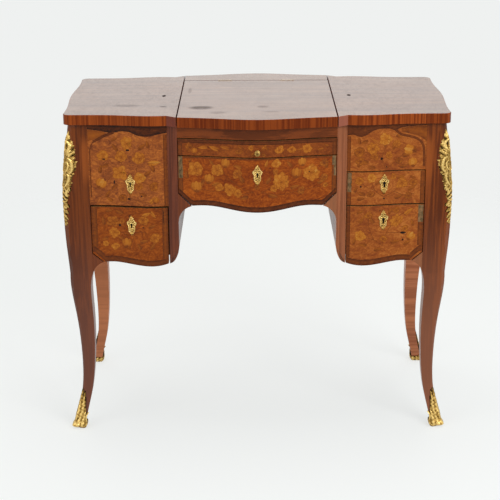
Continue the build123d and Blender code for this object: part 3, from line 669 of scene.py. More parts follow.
for node in ("front_left_leg", "front_right_leg"):
    planed(node, [post_wood], angle=20, shape=fitted_foot)
for node in ("rear_left_leg", "rear_right_leg"):
    planed(node, rear_woods, board_direction, angle=20, shape=fitted_foot)
planed("rear_stiles", rear_woods, board_direction, angle=20)
planed("front_left_stile", [left_stile_wood], angle=20)
planed("front_right_stile", [right_stile_wood], angle=20)
for side in ("left", "right"):
    planed(f"{side}_side_panel", [side_wood])
    dress_node(f"{side}_inner_side", post_wood)
planed("pedestal_backs", [back_wood])
planed("centre_back", [back_wood])
planed("centre_rail", [rail_wood])
planed("corner_brackets", [bracket_wood])
for node in ("lid_panel", "left_wing_panel", "right_wing_panel", "rear_top_strip"):
    planed(node, [top_wood, edge_wood, rail_wood], top_faces, angle=10)
for node, slot in slot_of.items():
    if slot == "oak":
        planed(node, oak_woods, board_direction)

# %% [markdown]
# ## The serpentine fronts
# Every front follows one curve in plan. The curve is found again from the CAD's own corner points
# with a Chebyshev fit, so that inlays can be laid on it anywhere and stay flush with the wood.

# %% The curve of the fronts
centre_nodes = ("slide_front", "centre_drawer_front", "centre_rail")
pedestal_nodes = (
    "left_false_front",
    "left_drawer_front",
    "right_false_front",
    "right_upper_drawer_front",
    "right_lower_drawer_front",
)
knee_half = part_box("centre_rail")[1][0]
curve_degree = 14
# a face looks forwards where its normal's y is below the first, and down where its z is below the other
front_facing, down_facing = -0.9, -0.1
edge_margin = 0.4 * mm


def front_points(names):
    """|x| and y of the corners of all faces that look forwards."""
    plan = []
    for node in names:
        points, faces, normals = corners(node)
        plan.append(points[np.unique(faces[normals[:, 1] < front_facing]), :2])
    plan = np.concatenate(plan)
    return np.abs(plan[:, 0]), plan[:, 1]


curves = {}
for part, names in (("centre", centre_nodes), ("pedestal", pedestal_nodes)):
    across, depth = front_points(names)
    curves[part] = np.polynomial.Chebyshev.fit(across, depth, curve_degree)
    error = np.abs(curves[part](across) - depth).max()
    print(part, "front:", len(across), "points, largest error", round(error / mm, 3), "mm")


def front_depth(x):
    """The y of the front's curve at each x."""
    x = np.abs(x)
    centre_depth = curves["centre"](np.minimum(x, knee_half))
    return np.where(x < knee_half, centre_depth, curves["pedestal"](np.maximum(x, knee_half)))


def lower_edge(node, x):
    """The z of a front's shaped lower edge at each x, from the front corners of the faces that look
    down."""
    points, faces, normals = corners(node)
    edge = points[np.unique(faces[normals[:, 2] < down_facing])]
    edge = edge[edge[:, 1] < front_depth(edge[:, 0]) + edge_margin]
    order = np.argsort(edge[:, 0])
    return np.interp(x, edge[order, 0], edge[order, 2])


# %% [markdown]
# ### Grounds
# The grounds are thin sheets of warm, reddish wood. Their figure runs across, clouded by the knife
# and by old polish. Only the forward faces are veneered: the rest of each front is oak.

# %% Ground veneers
def old_polish(finish):
    """Roughness of the fronts' polish, which has dulled in clouds."""
    return finish.noise(13.0, 3, 0.6) * 0.2 + 0.26


def ground(name, *tones):
    """A ground veneer in three tones from light to dark: lazy flame, swirls, fine rays and short
    pores."""
    light, middle, dark = (srgb(*tone) for tone in tones)
    finish = Finish(name, Specular_IOR_Level=0.16)
    flame = finish.noise((12.0, 12.0, 22.0), 2, 0.5, 1.0)
    swirl = finish.noise((46.0, 46.0, 70.0), 4, 0.62, 2.4)
    ray = finish.noise((120.0, 120.0, 330.0), 3, 0.6, 2.0)
    fine = finish.noise((70.0, 70.0, 900.0), 2, 0.6)
    tone = flame * 0.25 + swirl * 0.45 + ray * 0.3
    colour = finish.ramp(tone, (0.38, dark), (0.5, middle), (0.61, light))
    colour = finish.mix(finish.between(fine, 0.55, 0.72) * 0.4, colour, darker(dark, 0.45))
    finish.relief(swirl + ray, 0.00008)
    return finish.surface(Base_Color=colour, Roughness=old_polish(finish))


right_ground = ground("right_ground", (206, 124, 54), (176, 94, 36), (140, 66, 26))
grounds = {
    "centre_drawer_front": ground("centre_ground", (196, 102, 30), (160, 74, 18), (120, 48, 12)),
    "slide_front": ground("slide_ground", (172, 90, 32), (144, 70, 24), (108, 48, 18)),
    "left_false_front": ground("left_false_ground", (206, 120, 50), (168, 90, 40), (114, 56, 30)),
    "left_drawer_front": ground("left_ground", (188, 98, 30), (154, 74, 20), (116, 50, 14)),
    "right_false_front": right_ground,
    "right_upper_drawer_front": right_ground,
    "right_lower_drawer_front": right_ground,
}


def forward_faces(normals):
    """0 for the veneered front, 1 for the oak behind it."""
    return np.where(normals[:, 1] < -0.3, 0, 1)


for node, material in grounds.items():
    planed(node, [material, oak_woods[0]], forward_faces, angle=20)
print("grounds:", len(grounds))

# %% [markdown]
# ### Inlays
# A marquetry cutter saws every petal, leaf and band from thin coloured woods and lets them into the
# ground. Here each is a closed plate about half a millimetre thick that follows the front's curve. A
# class gathers the plates of one front into one mesh, with a tone for each plate and a shade that
# darkens towards its rim, as hot sand scorches the real ones.

# %% Lines
def flow(points, count):
    """A smooth line through a few points (Catmull-Rom): between two points, each coordinate is the
    cubic whose slopes at the ends are half the difference of the neighbours."""
    points = np.asarray(points, float)
    padded = np.concatenate([[2 * points[0] - points[1]], points, [2 * points[-1] - points[-2]]])
    place = np.linspace(0, len(points) - 1, count)
    first = np.minimum(place.astype(int), len(points) - 2)
    t = (place - first)[:, None]
    a, b, c, d = (padded[first + i] for i in range(4))
    return 0.5 * (2 * b + (c - a) * t + (2 * a - 5 * b + 4 * c - d) * t**2 + (3 * b - a - 3 * c + d) * t**3)


def sideways(line):
    """Unit vectors across a line of points, a quarter turn from its direction."""
    step = np.gradient(line, axis=0)
    side = np.stack([-step[:, 1], step[:, 0]], 1)
    return side / (np.linalg.norm(side, axis=1, keepdims=True) + 1e-9)


print("a line through three points:", flow([(0, 0), (1, 1), (2, 0)], 5).tolist())

# %% Thin plates
class Plates:
    """Closed thin bodies laid on a curved surface. The surface turns arrays of across, up (both in
    millimetres) and lift into points. Each plate carries a tone and a shade."""

    def __init__(self, node, surface, depth, seed):
        self.node = node
        self.surface = surface
        self.depth = depth
        self.chance = np.random.default_rng(seed)
        self.rows = []
        self.count = 0
        self.low, self.high = (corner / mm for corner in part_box(node))

    def close(self, loops, tone, shade, grain):
        """Adds bodies given as (plates, sections, points round a section) and turns each outwards."""
        quads = section_faces(*loops.shape[1:3])
        for body, *values in zip(loops, tone, shade, grain):
            points = body.reshape(-1, 3)
            turned = enclosed_volume(points - points.mean(0), quads) < 0
            faces = (quads[:, ::-1] if turned else quads) + self.count
            tones, shades, grains = (value.reshape(len(points), -1) for value in values)
            self.rows.append((points, faces, tones, shades, grains))
            self.count += len(points)

    def lay(self, across, up, lift, tone, shade, grain):
        """Plates from grids (plates, sections, across): the grid itself, and the same grid turned
        round and sunk behind it."""
        lift, tone, shade = (np.broadcast_to(v, across.shape) for v in (lift, tone, shade))
        grain = np.broadcast_to(grain, (*across.shape, 2))
        face = self.surface(across, up, lift)
        back = self.surface(across, up, np.full(across.shape, -self.depth))
        both = [np.concatenate([v, v[:, :, ::-1]], 2) for v in (tone, shade, grain)]
        self.close(np.concatenate([face, back[:, :, ::-1]], 2), *both)

    def petals(
        self, x, z, angle, length, width, tone, lift,
        blunt=1.5, soft=0.6, sections=9, across=5, dome=0, vein=0,
    ):
        """Petals from their roots outwards. Along t from 0 to 1 the half width is
        width * sin(pi * t ** blunt) ** soft: blunt above 1 is widest near the tip, below 1 near the
        root. A dome raises the middle, and a vein sinks a line along it. Angles are in degrees."""
        values = (np.atleast_1d(v).astype(float) for v in (x, z, angle, length, width, tone))
        x, z, angle, length, width, tone = (v[:, None, None] for v in np.broadcast_arrays(*values))
        t = np.linspace(0, 1, sections)[None, :, None]
        s = np.linspace(-1, 1, across)[None, None, :]
        full = np.maximum(np.sin(np.pi * t**blunt), 0.02) ** soft
        wave = 1 + 0.07 * np.sin(7 * t + self.chance.uniform(0, 12, x.shape)) * np.abs(s)
        turn = np.radians(angle)
        along, side = t * length, s * width * full * wave
        offset = self.chance.uniform(0, 50, x.shape)
        grain = np.stack([along + offset + 0 * side, side + offset + 0 * along], -1)
        swell = dome * full * (1 - s**2) - vein * np.exp(-((4 * s) ** 2)) * full
        order = 0.02 * (np.arange(len(x))[:, None, None] % 2)
        self.lay(
            x + along * np.cos(turn) - side * np.sin(turn),
            z + along * np.sin(turn) + side * np.cos(turn),
            lift + order + swell,
            tone,
            np.maximum(np.abs(s) ** 3, 0.75 * (1 - t) ** 2) + 0 * side,
            grain,
        )

    def finish(self, suffix, material, slot):
        """One mesh of all the plates, with tone, shade and the grain as its UV map."""
        points, faces, tone, shade, grain = (np.concatenate(column) for column in zip(*self.rows))
        mesh = bpy.data.meshes.new(self.node + suffix)
        mesh.from_pydata(points.tolist(), [], faces.tolist())
        corner = np.zeros(len(mesh.loops), np.int32)
        mesh.loops.foreach_get("vertex_index", corner)
        places = mesh.uv_layers.new(name="UVMap").data
        places.foreach_set("uv", grain.astype(np.float32)[corner].ravel())
        for key, value in (("tone", tone), ("shade", shade)):
            data = mesh.attributes.new(key, "FLOAT", "POINT").data
            data.foreach_set("value", value.astype(np.float32).ravel())
        mesh.materials.append(material)
        obj = stand(mesh.name, mesh)
        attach(obj, body_of[self.node])
        print(obj.name, len(faces), "faces")
        return obj


print("what a set of plates can do:", [name for name in vars(Plates) if name[0] != "_"])

# %% Flowers, leaves and bands
plate_sink = 0.16
band_lift = 0.24
layer = 0.025


def front_surface(x, z, lift):
    """A point in front of the serpentine curve."""
    return np.stack([x * mm, front_depth(x * mm) - lift * mm, z * mm], -1)


class Inlay(Plates):
    """Flowers, leaves, stems and bands of thin wood let into one front."""

    def __init__(self, node, seed):
        super().__init__(node, front_surface, plate_sink, seed)
        self.west, _, self.base = self.low
        self.east, _, self.top = self.high

    def over(self, level):
        """The lift of a layer: 0 is a band's, and every layer above it stands a little higher."""
        return band_lift + level * layer

    def band(self, line, other, tone, level=0):
        """A band between two lines of (x, z) points with the same count."""
        share = np.linspace(0, 1, 3)[None, :, None]
        grid = (line[:, None] * (1 - share) + other[:, None] * share)[None]
        shade = 0.6 * np.abs(2 * share[..., 0] - 1) ** 6 + 0 * grid[..., 0]
        self.lay(grid[..., 0], grid[..., 1], self.over(level), tone, shade, grid + 100)

    def upright(self, x0, x1, z0, z1, tone):
        """A band between two upright lines."""
        self.band(*(np.linspace((x, z0), (x, z1), 24) for x in (x0, x1)), tone)

    def rail(self, margin, z0, z1, tone, count=60):
        """A level band that keeps a margin from both ends of the front."""
        start, end = self.west + margin, self.east - margin
        self.band(*(np.linspace((start, z), (end, z), count) for z in (z0, z1)), tone)

    def crown(self, points, tone):
        """A band from a flowing line up to the front's top."""
        line = flow(points, 90)
        self.band(line, np.stack([line[:, 0], np.full(90, self.top - 0.5)], 1), tone)

    def hem(self, x0, x1, margin, tone, count=70, level=0):
        """A band along the front's shaped lower edge, and a dark line over it."""
        x = np.linspace(x0, x1, count)
        edge = lower_edge(self.node, x * mm) / mm
        low, high = (np.stack([x, edge + rise], 1) for rise in (0.15, margin))
        self.band(low, high, tone, level)
        self.ribbon(high[:: count // 12], 0.7, 0.22, level + 1, count)

    def ribbon(self, points, width, tone, level=1, count=26, taper=0.0):
        """A strip of even width, or tapered to a point, along a flowing line."""
        line = flow(points, count)
        side = 0.5 * width * (1 - taper * np.linspace(0, 1, count)[:, None]) * sideways(line)
        self.band(line - side, line + side, tone, level)

    def bloom(self, x, z, radius, count=6, tone=0.75, tilt=0.0):
        """An open flower: three rings of broad petals that overlap, and a small heart."""
        turn = tilt + 360.0 * np.arange(count) / count + self.chance.uniform(-12, 12, count)
        reach = 1.1 * radius * self.chance.uniform(0.7, 1.12, count)
        outer = tone + self.chance.uniform(-0.08, 0.06, count)
        inner = tone + 0.04 + self.chance.uniform(-0.07, 0.07, count)
        part, heart = radius / count, 0.1 * radius
        self.petals(x, z, turn, reach, 3.1 * part, outer, self.over(2), 1.7)
        self.petals(x, z, turn + 180 / count, 0.78 * reach, 2.6 * part, inner, self.over(4))
        self.petals(x, z, turn + 20, 0.42 * radius, 1.4 * part, tone - 0.05, self.over(6), 1.4, sections=6)
        self.petals(x - heart, z, 0.0, 2 * heart, heart, tone - 0.24, self.over(8), 1.0, sections=7)

    def tulip(self, x, z, radius, angle=90.0, tone=0.75):
        """A flower seen from the side: three overlapping petals from one root and a small calyx."""
        turn = np.radians(angle)
        root = x - radius * np.cos(turn), z - radius * np.sin(turn)
        sides = angle - 20, angle + 20
        calyx = angle - 48, angle, angle + 48
        self.petals(*root, sides, 1.9 * radius, 0.6 * radius, tone - 0.06, self.over(2), 1.2, 0.5)
        self.petals(*root, angle, 2.0 * radius, 0.55 * radius, tone + 0.05, self.over(4), 1.2, 0.5)
        self.petals(*root, calyx, 0.6 * radius, 0.16 * radius, 0.5, self.over(6), 0.9)

    def leaf(self, x, z, length, angle, tone=0.62):
        """A pointed leaf in two halves, one lighter, with a dark midrib."""
        turn = np.radians(angle)
        half = 0.26 * length
        sides = np.array([-1.0, 1.0])
        roots = x - sides * 0.42 * half * np.sin(turn), z + sides * 0.42 * half * np.cos(turn)
        tones = tone + 0.06 + 0.05 * sides
        self.petals(*roots, angle - sides * 7.0, length, 0.6 * half, tones, self.over(2), 0.85, 0.8)
        tip = x + length * np.cos(turn), z + length * np.sin(turn)
        self.ribbon([(x, z), ((x + tip[0]) / 2, (z + tip[1]) / 2), tip], 0.8, 0.4, 5, 8, 0.7)

    def stem(self, *points, width=1.0):
        self.ribbon(points, width, 0.46)

    def knot(self, x, z, width, height):
        """A small dark plug."""
        self.petals(x - width / 2, z, 0.0, width, height / 2, 0.02, self.over(9), 1.0, 0.55, 8, 4)

    def spray(self, stems, leaves, flowers, knots):
        """Stems, leaves, flowers and knots, one upon the other, from rows of their arguments."""
        for row in stems:
            self.stem(*row)
        for row in leaves:
            self.leaf(*row)
        for flower, *row in flowers:
            flower(self, *row)
        for row in knots:
            self.knot(*row)
        return self.finish("_inlay", inlay_material, "marquetry")


bloom, tulip = Inlay.bloom, Inlay.tulip
print("an inlay is made of:", [name for name in vars(Inlay) if name[0] != "_"])

# %% Inlay wood
def inlay_wood():
    """Tone picks the wood, from scorched near black through red and brown to yellow."""
    finish = Finish("inlay_wood", Specular_IOR_Level=0.16)
    grain = finish.noise((0.06, 1.6, 1.0), 3, 0.6, kind="UV")
    cloud = finish.noise((60.0, 60.0, 90.0), 4, 0.62, 1.6)
    tone = finish.attribute("tone") + (grain - 0.5) * 0.25 + (cloud - 0.5) * 0.45
    tone = tone - finish.attribute("shade") * 0.24 + 0.02
    colour = finish.ramp(
        tone,
        (0.0, srgb(30, 14, 8)),
        (0.14, srgb(80, 36, 12)),
        (0.3, srgb(114, 56, 22)),
        (0.46, srgb(144, 74, 24)),
        (0.62, srgb(170, 92, 28)),
        (0.78, srgb(194, 114, 36)),
        (0.92, srgb(204, 126, 42)),
        (1.0, srgb(212, 146, 64)),
    )
    finish.relief(grain, 0.00005)
    return finish.surface(Base_Color=colour, Roughness=old_polish(finish))


inlay_material = inlay_wood()
print("inlay wood:", inlay_material.name)

# %% [markdown]
# ### The flowers
# Each front has its own spray, set out one by one in millimetres of x and z, as a cutter pricks a
# drawing through to the veneer. Stems come first and the blooms lie over them. Where a border is
# shaped, one line of it follows the front's own edge.
# A stem is its points, and a leaf is x, z, length, angle and tone. A bloom is x, z, radius, petals,
# tone and tilt, a tulip is x, z, radius, angle and tone, and a knot is x, z, width and height.

# %% Centre drawer
centre = Inlay("centre_drawer_front", 11)
centre.hem(centre.west + 0.6, centre.east - 0.6, 12.0, 0.24, 90, 1)
centre.upright(centre.west + 0.4, centre.west + 10, 581, centre.top - 1, 0.42)
centre.upright(centre.east - 10, centre.east - 0.4, 581, centre.top - 1, 0.42)
centre.rail(11, centre.top - 0.4, centre.top - 3.2, 0.36)
centre.stem((116, 622), (134, 636), (147, 642), width=1.2)
centre.spray(
    stems=(
        ((-8, 585), (-30, 592), (-52, 606), (-87, 622)),
        ((-8, 585), (-40, 580), (-64, 588), (-100, 584), (-130, 590)), ((-52, 606), (-74, 628), (-72, 642)),
        ((-87, 622), (-104, 604), (-106, 612), (-130, 632)),
        ((8, 585), (24, 592), (50, 606), (84, 616), (116, 622)), ((50, 606), (34, 630), (40, 646)),
        ((84, 616), (92, 640), (98, 650)), ((8, 585), (50, 578), (96, 586), (148, 594)),
    ),
    leaves=(
        (-34, 640, 20, 165, 0.6), (-30, 606, 22, 118, 0.5), (-100, 597, 19, 24, 0.66),
        (-118, 610, 17, 250, 0.52), (-154, 612, 18, 100, 0.5), (-20, 575, 20, 195, 0.5),
        (-96, 644, 15, 130, 0.6), (20, 604, 20, 60, 0.52), (24, 578, 22, -12, 0.5), (72, 592, 22, 12, 0.55),
        (76, 640, 18, 130, 0.52), (132, 600, 18, 20, 0.56), (18, 642, 17, 74, 0.74),
        (136, 612, 15, -30, 0.55), (152, 634, 14, 80, 0.55), (-150, 648, 12, 60, 0.5),
    ),
    flowers=(
        (bloom, -134, 633.5, 18.5, 8, 0.78), (bloom, -88, 632.5, 14, 7, 0.8, 20),
        (tulip, -70, 649.0, 10.5, 80, 0.84), (tulip, -106, 612, 11.5, 84, 0.82),
        (tulip, -134, 593, 13.0, 92, 0.82), (bloom, -84, 592.5, 9.5, 5, 0.78),
        (bloom, -62, 589.5, 14.0, 7, 0.82, 12), (bloom, -44, 582.0, 9, 5, 0.78),
        (bloom, -44, 627, 11, 6, 0.66), (bloom, 40.7, 648.5, 10.5, 6, 0.84), (bloom, 40.7, 631, 6, 5, 0.7),
        (bloom, 52, 606.5, 20.5, 9, 0.82, 10), (bloom, 36, 594, 8, 5, 0.74),
        (tulip, 98.5, 650.0, 9.5, 96, 0.86), (tulip, 86, 626, 12.0, 84, 0.76),
        (bloom, 118, 624.5, 19.5, 9, 0.84), (bloom, 147, 645, 9, 6, 0.6), (bloom, 148, 614, 8, 5, 0.58),
        (bloom, 150, 595, 6, 5, 0.7), (bloom, 96, 586, 8.5, 6, 0.6), (bloom, 0, 598, 6.5, 5, 0.55),
    ),
    knots=((114, 627, 3, 3), (28, 640, 3, 2)),
)

# %% Writing slide
slide = Inlay("slide_front", 12)
slide.rail(0.4, slide.top - 0.4, slide.top - 7.5, 0.28, 90)
fillet = np.linspace((slide.west + 9, slide.top - 8), (slide.east - 9, slide.top - 8), 12)
slide.ribbon(fillet, 0.6, 0.26, 1, 90)
for start in (slide.west + 0.4, slide.east - 9.4):
    slide.upright(start, start + 9, slide.base + 0.4, slide.top - 8, 0.36)
slide.spray(
    stems=(
        ((-6, 674), (-40, 684), (-90, 676), (-138, 682)),
        ((6, 674), (40, 684), (80, 674), (118, 682), (150, 676)),
    ),
    leaves=(
        (-30, 682, 16, 150, 0.5), (-60, 682, 22, 168, 0.62), (-84, 678, 24, 160, 0.72),
        (-108, 684, 22, 186, 0.7), (-122, 672, 14, 210, 0.6), (-150, 674, 15, 110, 0.55),
        (10, 680, 16, 50, 0.62), (24, 681, 14, 140, 0.52), (88, 676, 14, 20, 0.6), (132, 674, 16, 20, 0.58),
        (146, 686, 12, -10, 0.56),
    ),
    flowers=(
        (bloom, -148, 682, 9.5, 7, 0.55), (tulip, -138, 674, 7.5, 90, 0.76), (bloom, -40, 677, 8, 6, 0.58),
        (bloom, 48, 679.5, 9.5, 6, 0.78), (bloom, 75, 679.5, 8.5, 6, 0.72), (bloom, 108, 679.5, 11, 8, 0.8),
        (bloom, -14, 685, 5.5, 5, 0.8), (bloom, 14, 669, 4.5, 5, 0.62), (bloom, -10, 669.5, 4.5, 5, 0.6),
    ),
    knots=(),
)

# %% Left false front
left_false = Inlay("left_false_front", 13)
# The dark crown is partly a border and partly painted shadow under the top's overhang.
left_false.crown(
    [
        (left_false.west + 0.4, 716), (-345, 712), (-322, 708), (-300, 712), (-281, 711),
        (-264, 704), (-248, 702), (-232, 703), (-221, 706), (left_false.east - 0.4, 710),
    ],
    0.16,
)
left_false.ribbon([(-316, 709), (-335, 702), (-350, 694), (-362, 688)], 5.5, 0.26)
left_false.ribbon([(-362, 688), (-368, 676), (-370.5, 654), (-370.5, 560)], 2.2, 0.34, 1, 50)
left_false.band(
    flow([(-336, 704), (-350, 697), (-364, 692), (-373.6, 689)], 20),
    flow([(-336, 710), (-350, 712), (-364, 714), (-373.6, 715)], 20),
    0.56,
)
left_false.upright(left_false.east - 9, left_false.east - 0.4, left_false.base + 0.5, 706, 0.42)
left_false.spray(
    stems=(
        ((-284, 560), (-290, 600), (-300, 640), (-290, 676)),
        ((-284, 560), (-272, 600), (-262, 640), (-236, 646)), ((-290, 600), (-318, 612), (-342, 588)),
        ((-300, 640), (-318, 650), (-336, 654)), ((-272, 600), (-250, 596), (-232, 588)),
        ((-284, 560), (-256, 552), (-232, 550)),
    ),
    leaves=(
        (-242, 640, 29, 8, 0.86), (-330, 636, 20, 200, 0.5), (-308, 668, 20, 130, 0.5),
        (-262, 672, 22, 40, 0.52), (-240, 676, 18, 100, 0.5), (-322, 690, 17, 30, 0.52),
        (-312, 592, 20, 230, 0.5), (-250, 612, 20, 40, 0.5), (-246, 566, 18, 160, 0.52),
        (-240, 549, 24, 42, 0.82), (-338, 560, 20, 60, 0.5), (-322, 552, 17, 150, 0.56),
        (-350, 616, 20, 80, 0.48), (-228, 622, 18, 110, 0.5),
    ),
    flowers=(
        (bloom, -288, 684, 14.5, 7, 0.84), (bloom, -341, 658, 13, 6, 0.8),
        (bloom, -300, 654, 13, 6, 0.74, 10), (bloom, -260, 652, 14.5, 6, 0.76),
        (bloom, -304, 618, 16, 7, 0.86), (bloom, -261, 608, 15, 7, 0.88), (bloom, -263, 587, 9.5, 6, 0.68),
        (tulip, -348, 592, 12.5, 62, 0.92), (bloom, -230, 589, 10.5, 6, 0.64),
        (tulip, -226, 556, 8, 70, 0.7), (bloom, -300, 560, 9, 6, 0.58),
    ),
    knots=(
        (-286, 670, 8, 4.5), (-340, 648, 7, 3.5), (-286, 558, 7, 4), (-257.5, 565.5, 3.4, 3.4),
        (-318, 596, 3, 9),
    ),
)

# %% Left drawer
left_drawer = Inlay("left_drawer_front", 14)
left_drawer.hem(-346, left_drawer.east - 0.6, 13.5, 0.33)
left_drawer.band(
    flow([(left_drawer.west + 0.5, 431), (-368, 431), (-360, 424), (-346, 411.5)], 16),
    flow([(left_drawer.west + 0.5, 446), (-364, 442), (-352, 432), (-346, 426)], 16),
    0.34,
)
left_drawer.upright(left_drawer.west + 0.5, left_drawer.west + 13, 444, left_drawer.top - 0.5, 0.42)
left_drawer.upright(left_drawer.east - 12.5, left_drawer.east - 0.5, 420, left_drawer.top - 0.5, 0.42)
left_drawer.ribbon([(-209.5, 530), (-210, 514), (-209, 498)], 1.1, 0.02, 2, 12)
left_drawer.spray(
    stems=(
        ((-288, 440), (-292, 470), (-300, 500), (-322, 506)),
        ((-288, 440), (-274, 480), (-258, 504), (-246, 520)), ((-292, 470), (-306, 480), (-320, 480)),
        ((-274, 480), (-252, 480), (-232, 468)), ((-288, 440), (-310, 446), (-340, 450)),
    ),
    leaves=(
        (-258, 518, 22, 24, 0.8), (-240, 530, 20, -50, 0.76), (-300, 524, 20, 160, 0.5),
        (-344, 496, 20, 100, 0.5), (-340, 528, 16, 10, 0.52), (-300, 462, 18, 150, 0.55),
        (-264, 456, 20, 20, 0.55), (-262, 440, 17, 120, 0.5), (-244, 492, 18, 20, 0.52),
        (-336, 466, 16, 200, 0.56), (-240, 440, 20, 60, 0.52),
    ),
    flowers=(
        (bloom, -257, 509, 12, 6, 0.7), (bloom, -324, 505, 13.5, 7, 0.66), (bloom, -304, 505, 8, 6, 0.68),
        (bloom, -322.5, 479, 12.5, 7, 0.82), (tulip, -294.5, 455, 11.5, 92, 0.82),
        (bloom, -230.5, 468, 13.5, 7, 0.72), (bloom, -342, 452, 7.5, 8, 0.84),
        (bloom, -320, 446.5, 9.0, 6, 0.8),
    ),
    knots=((-309, 496, 6, 5), (-256, 492, 3, 3), (-287, 518, 2.6, 3)),
)

# %% Right false front
right_false = Inlay("right_false_front", 15)
right_false.crown(
    [
        (right_false.west + 0.4, 702), (212, 704), (226, 699), (240, 703), (254, 712),
        (268, 716), (290, 716), (304, 712), (322, 718), (right_false.east - 0.4, 722),
    ],
    0.3,
)
border = [(304, 713), (318, 702), (338, 697), (356, 690), (366, 678), (369.5, 660), (370.5, 628)]
right_false.ribbon(border, 5.0, 0.36, 1, 60)
right_false.band(
    flow([(318, 708), (338, 703), (357, 697), (373.6, 686)], 20),
    flow([(318, 716), (338, 719), (357, 720), (373.6, 720)], 20),
    0.5,
)
right_false.upright(right_false.west + 0.4, right_false.west + 8, right_false.base + 0.5, 700, 0.42)
for offset in (0.0, 3.4, 6.8):
    stamen = [(250 + offset, 696 - offset / 2), (258 + offset, 688), (267 + offset, 677)]
    right_false.ribbon(stamen, 0.9, 0.86, 3, 12)
right_false.spray(
    stems=(
        ((284, 624), (276, 650), (284, 676), (284, 690)), ((284, 624), (304, 640), (330, 664)),
        ((276, 650), (252, 660), (226, 668)), ((304, 640), (330, 632), (344, 636)),
    ),
    leaves=(
        (244, 690, 18, 200, 0.52), (226, 682, 17, 100, 0.5), (246, 640, 22, 170, 0.54),
        (300, 668, 18, 70, 0.55), (306, 700, 16, -20, 0.55), (322, 652, 20, 20, 0.52),
        (316, 628, 18, 10, 0.5), (262, 628, 18, 170, 0.5), (350, 660, 16, 100, 0.5),
        (222, 630, 17, 60, 0.52),
    ),
    flowers=(
        (bloom, 283.5, 692, 13.5, 7, 0.88), (bloom, 308, 680, 9.5, 6, 0.7),
        (tulip, 337, 667, 12.5, 165, 0.94), (bloom, 254, 672, 14, 7, 0.74), (bloom, 226, 664, 12, 7, 0.6),
        (bloom, 259, 655, 9.5, 6, 0.66), (bloom, 291, 655, 9.5, 6, 0.72), (tulip, 345, 638, 10.5, 96, 0.92),
        (bloom, 228, 643, 10, 6, 0.58), (bloom, 314, 642, 8.5, 6, 0.56),
    ),
    knots=((275, 648.5, 6, 6), (286.5, 629.5, 3, 3), (281, 677, 2.5, 2.5)),
)

# %% Right upper drawer
right_upper = Inlay("right_upper_drawer_front", 16)
levels = right_upper.base + 0.5, right_upper.top - 0.5
right_upper.upright(right_upper.west + 0.5, right_upper.west + 9, *levels, 0.42)
right_upper.upright(right_upper.east - 9.5, right_upper.east - 0.5, *levels, 0.42)
right_upper.spray(
    stems=(
        ((282, 560), (262, 576), (252, 600)), ((262, 576), (244, 584), (228, 596)),
        ((282, 560), (304, 572), (326, 590), (350, 592)), ((304, 572), (330, 562), (350, 566)),
    ),
    leaves=(
        (240, 566, 20, 160, 0.5), (262, 590, 16, 40, 0.55), (306, 556, 20, 20, 0.52),
        (336, 574, 20, 30, 0.56), (216, 572, 16, 70, 0.5), (312, 602, 18, 20, 0.56),
        (340, 606, 14, -20, 0.52), (222, 556, 18, 10, 0.5),
    ),
    flowers=(
        (bloom, 252.5, 605, 10.5, 6, 0.92), (bloom, 227, 599, 10.5, 7, 0.72),
        (bloom, 303, 607.5, 7.5, 6, 0.72), (bloom, 322, 592, 14, 8, 0.74), (bloom, 347, 592, 9.5, 6, 0.6),
        (bloom, 252, 568, 8.5, 6, 0.58), (bloom, 338, 560, 9, 6, 0.6),
    ),
    knots=((229.5, 585.5, 4, 4), (282.5, 556.5, 4, 4)),
)

# %% Right lower drawer
right_lower = Inlay("right_lower_drawer_front", 17)
right_lower.hem(right_lower.west + 0.6, 346, 13.5, 0.33)
right_lower.band(
    flow([(346, 411.5), (360, 424), (368, 431), (right_lower.east - 0.5, 431)], 16),
    flow([(346, 426), (352, 432), (364, 442), (right_lower.east - 0.5, 446)], 16),
    0.36,
)
right_lower.upright(right_lower.west + 0.5, right_lower.west + 8, 420, right_lower.top - 0.5, 0.36)
right_lower.upright(right_lower.east - 12, right_lower.east - 0.5, 444, right_lower.top - 0.5, 0.42)
right_lower.spray(
    stems=(
        ((282, 446), (262, 460), (232, 470)), ((282, 446), (290, 476), (306, 500)),
        ((290, 476), (318, 474), (344, 466)), ((306, 500), (320, 516), (340, 524)),
        ((262, 460), (250, 490), (248, 516)),
    ),
    leaves=(
        (228, 500, 20, 60, 0.56), (262, 500, 18, 130, 0.54), (222, 524, 17, 20, 0.56),
        (330, 516, 24, 40, 0.78), (300, 452, 22, 10, 0.56), (246, 448, 20, 170, 0.54),
        (262, 436, 20, 10, 0.52), (330, 446, 18, 30, 0.56), (294, 520, 16, 60, 0.55),
        (350, 490, 17, 100, 0.58), (216, 450, 16, 80, 0.56),
    ),
    flowers=(
        (bloom, 229.5, 470, 13.5, 8, 0.9), (bloom, 313, 503, 14, 8, 0.8), (bloom, 311, 528, 9, 6, 0.66),
        (tulip, 345, 466, 11, 60, 0.92), (bloom, 248, 518, 9.5, 6, 0.64), (bloom, 283, 462, 8.5, 6, 0.66),
        (bloom, 332, 484, 9, 6, 0.7),
    ),
    knots=((328, 474.5, 13, 5), (328, 458, 3.5, 5), (274, 529, 2.4, 3)),
)

# %% Old repairs
def filler_wood():
    """Greyish filler, rubbed in where a veneer's end was lost."""
    finish = Finish("filler", Specular_IOR_Level=0.12)
    blot = finish.noise((160.0, 160.0, 90.0), 4, 0.66)
    tones = (0.34, srgb(66, 50, 32)), (0.5, srgb(122, 98, 66)), (0.66, srgb(164, 122, 84))
    finish.relief(blot, 0.0002)
    return finish.surface(Base_Color=finish.ramp(blot, *tones), Roughness=blot * 0.3 + 0.4)


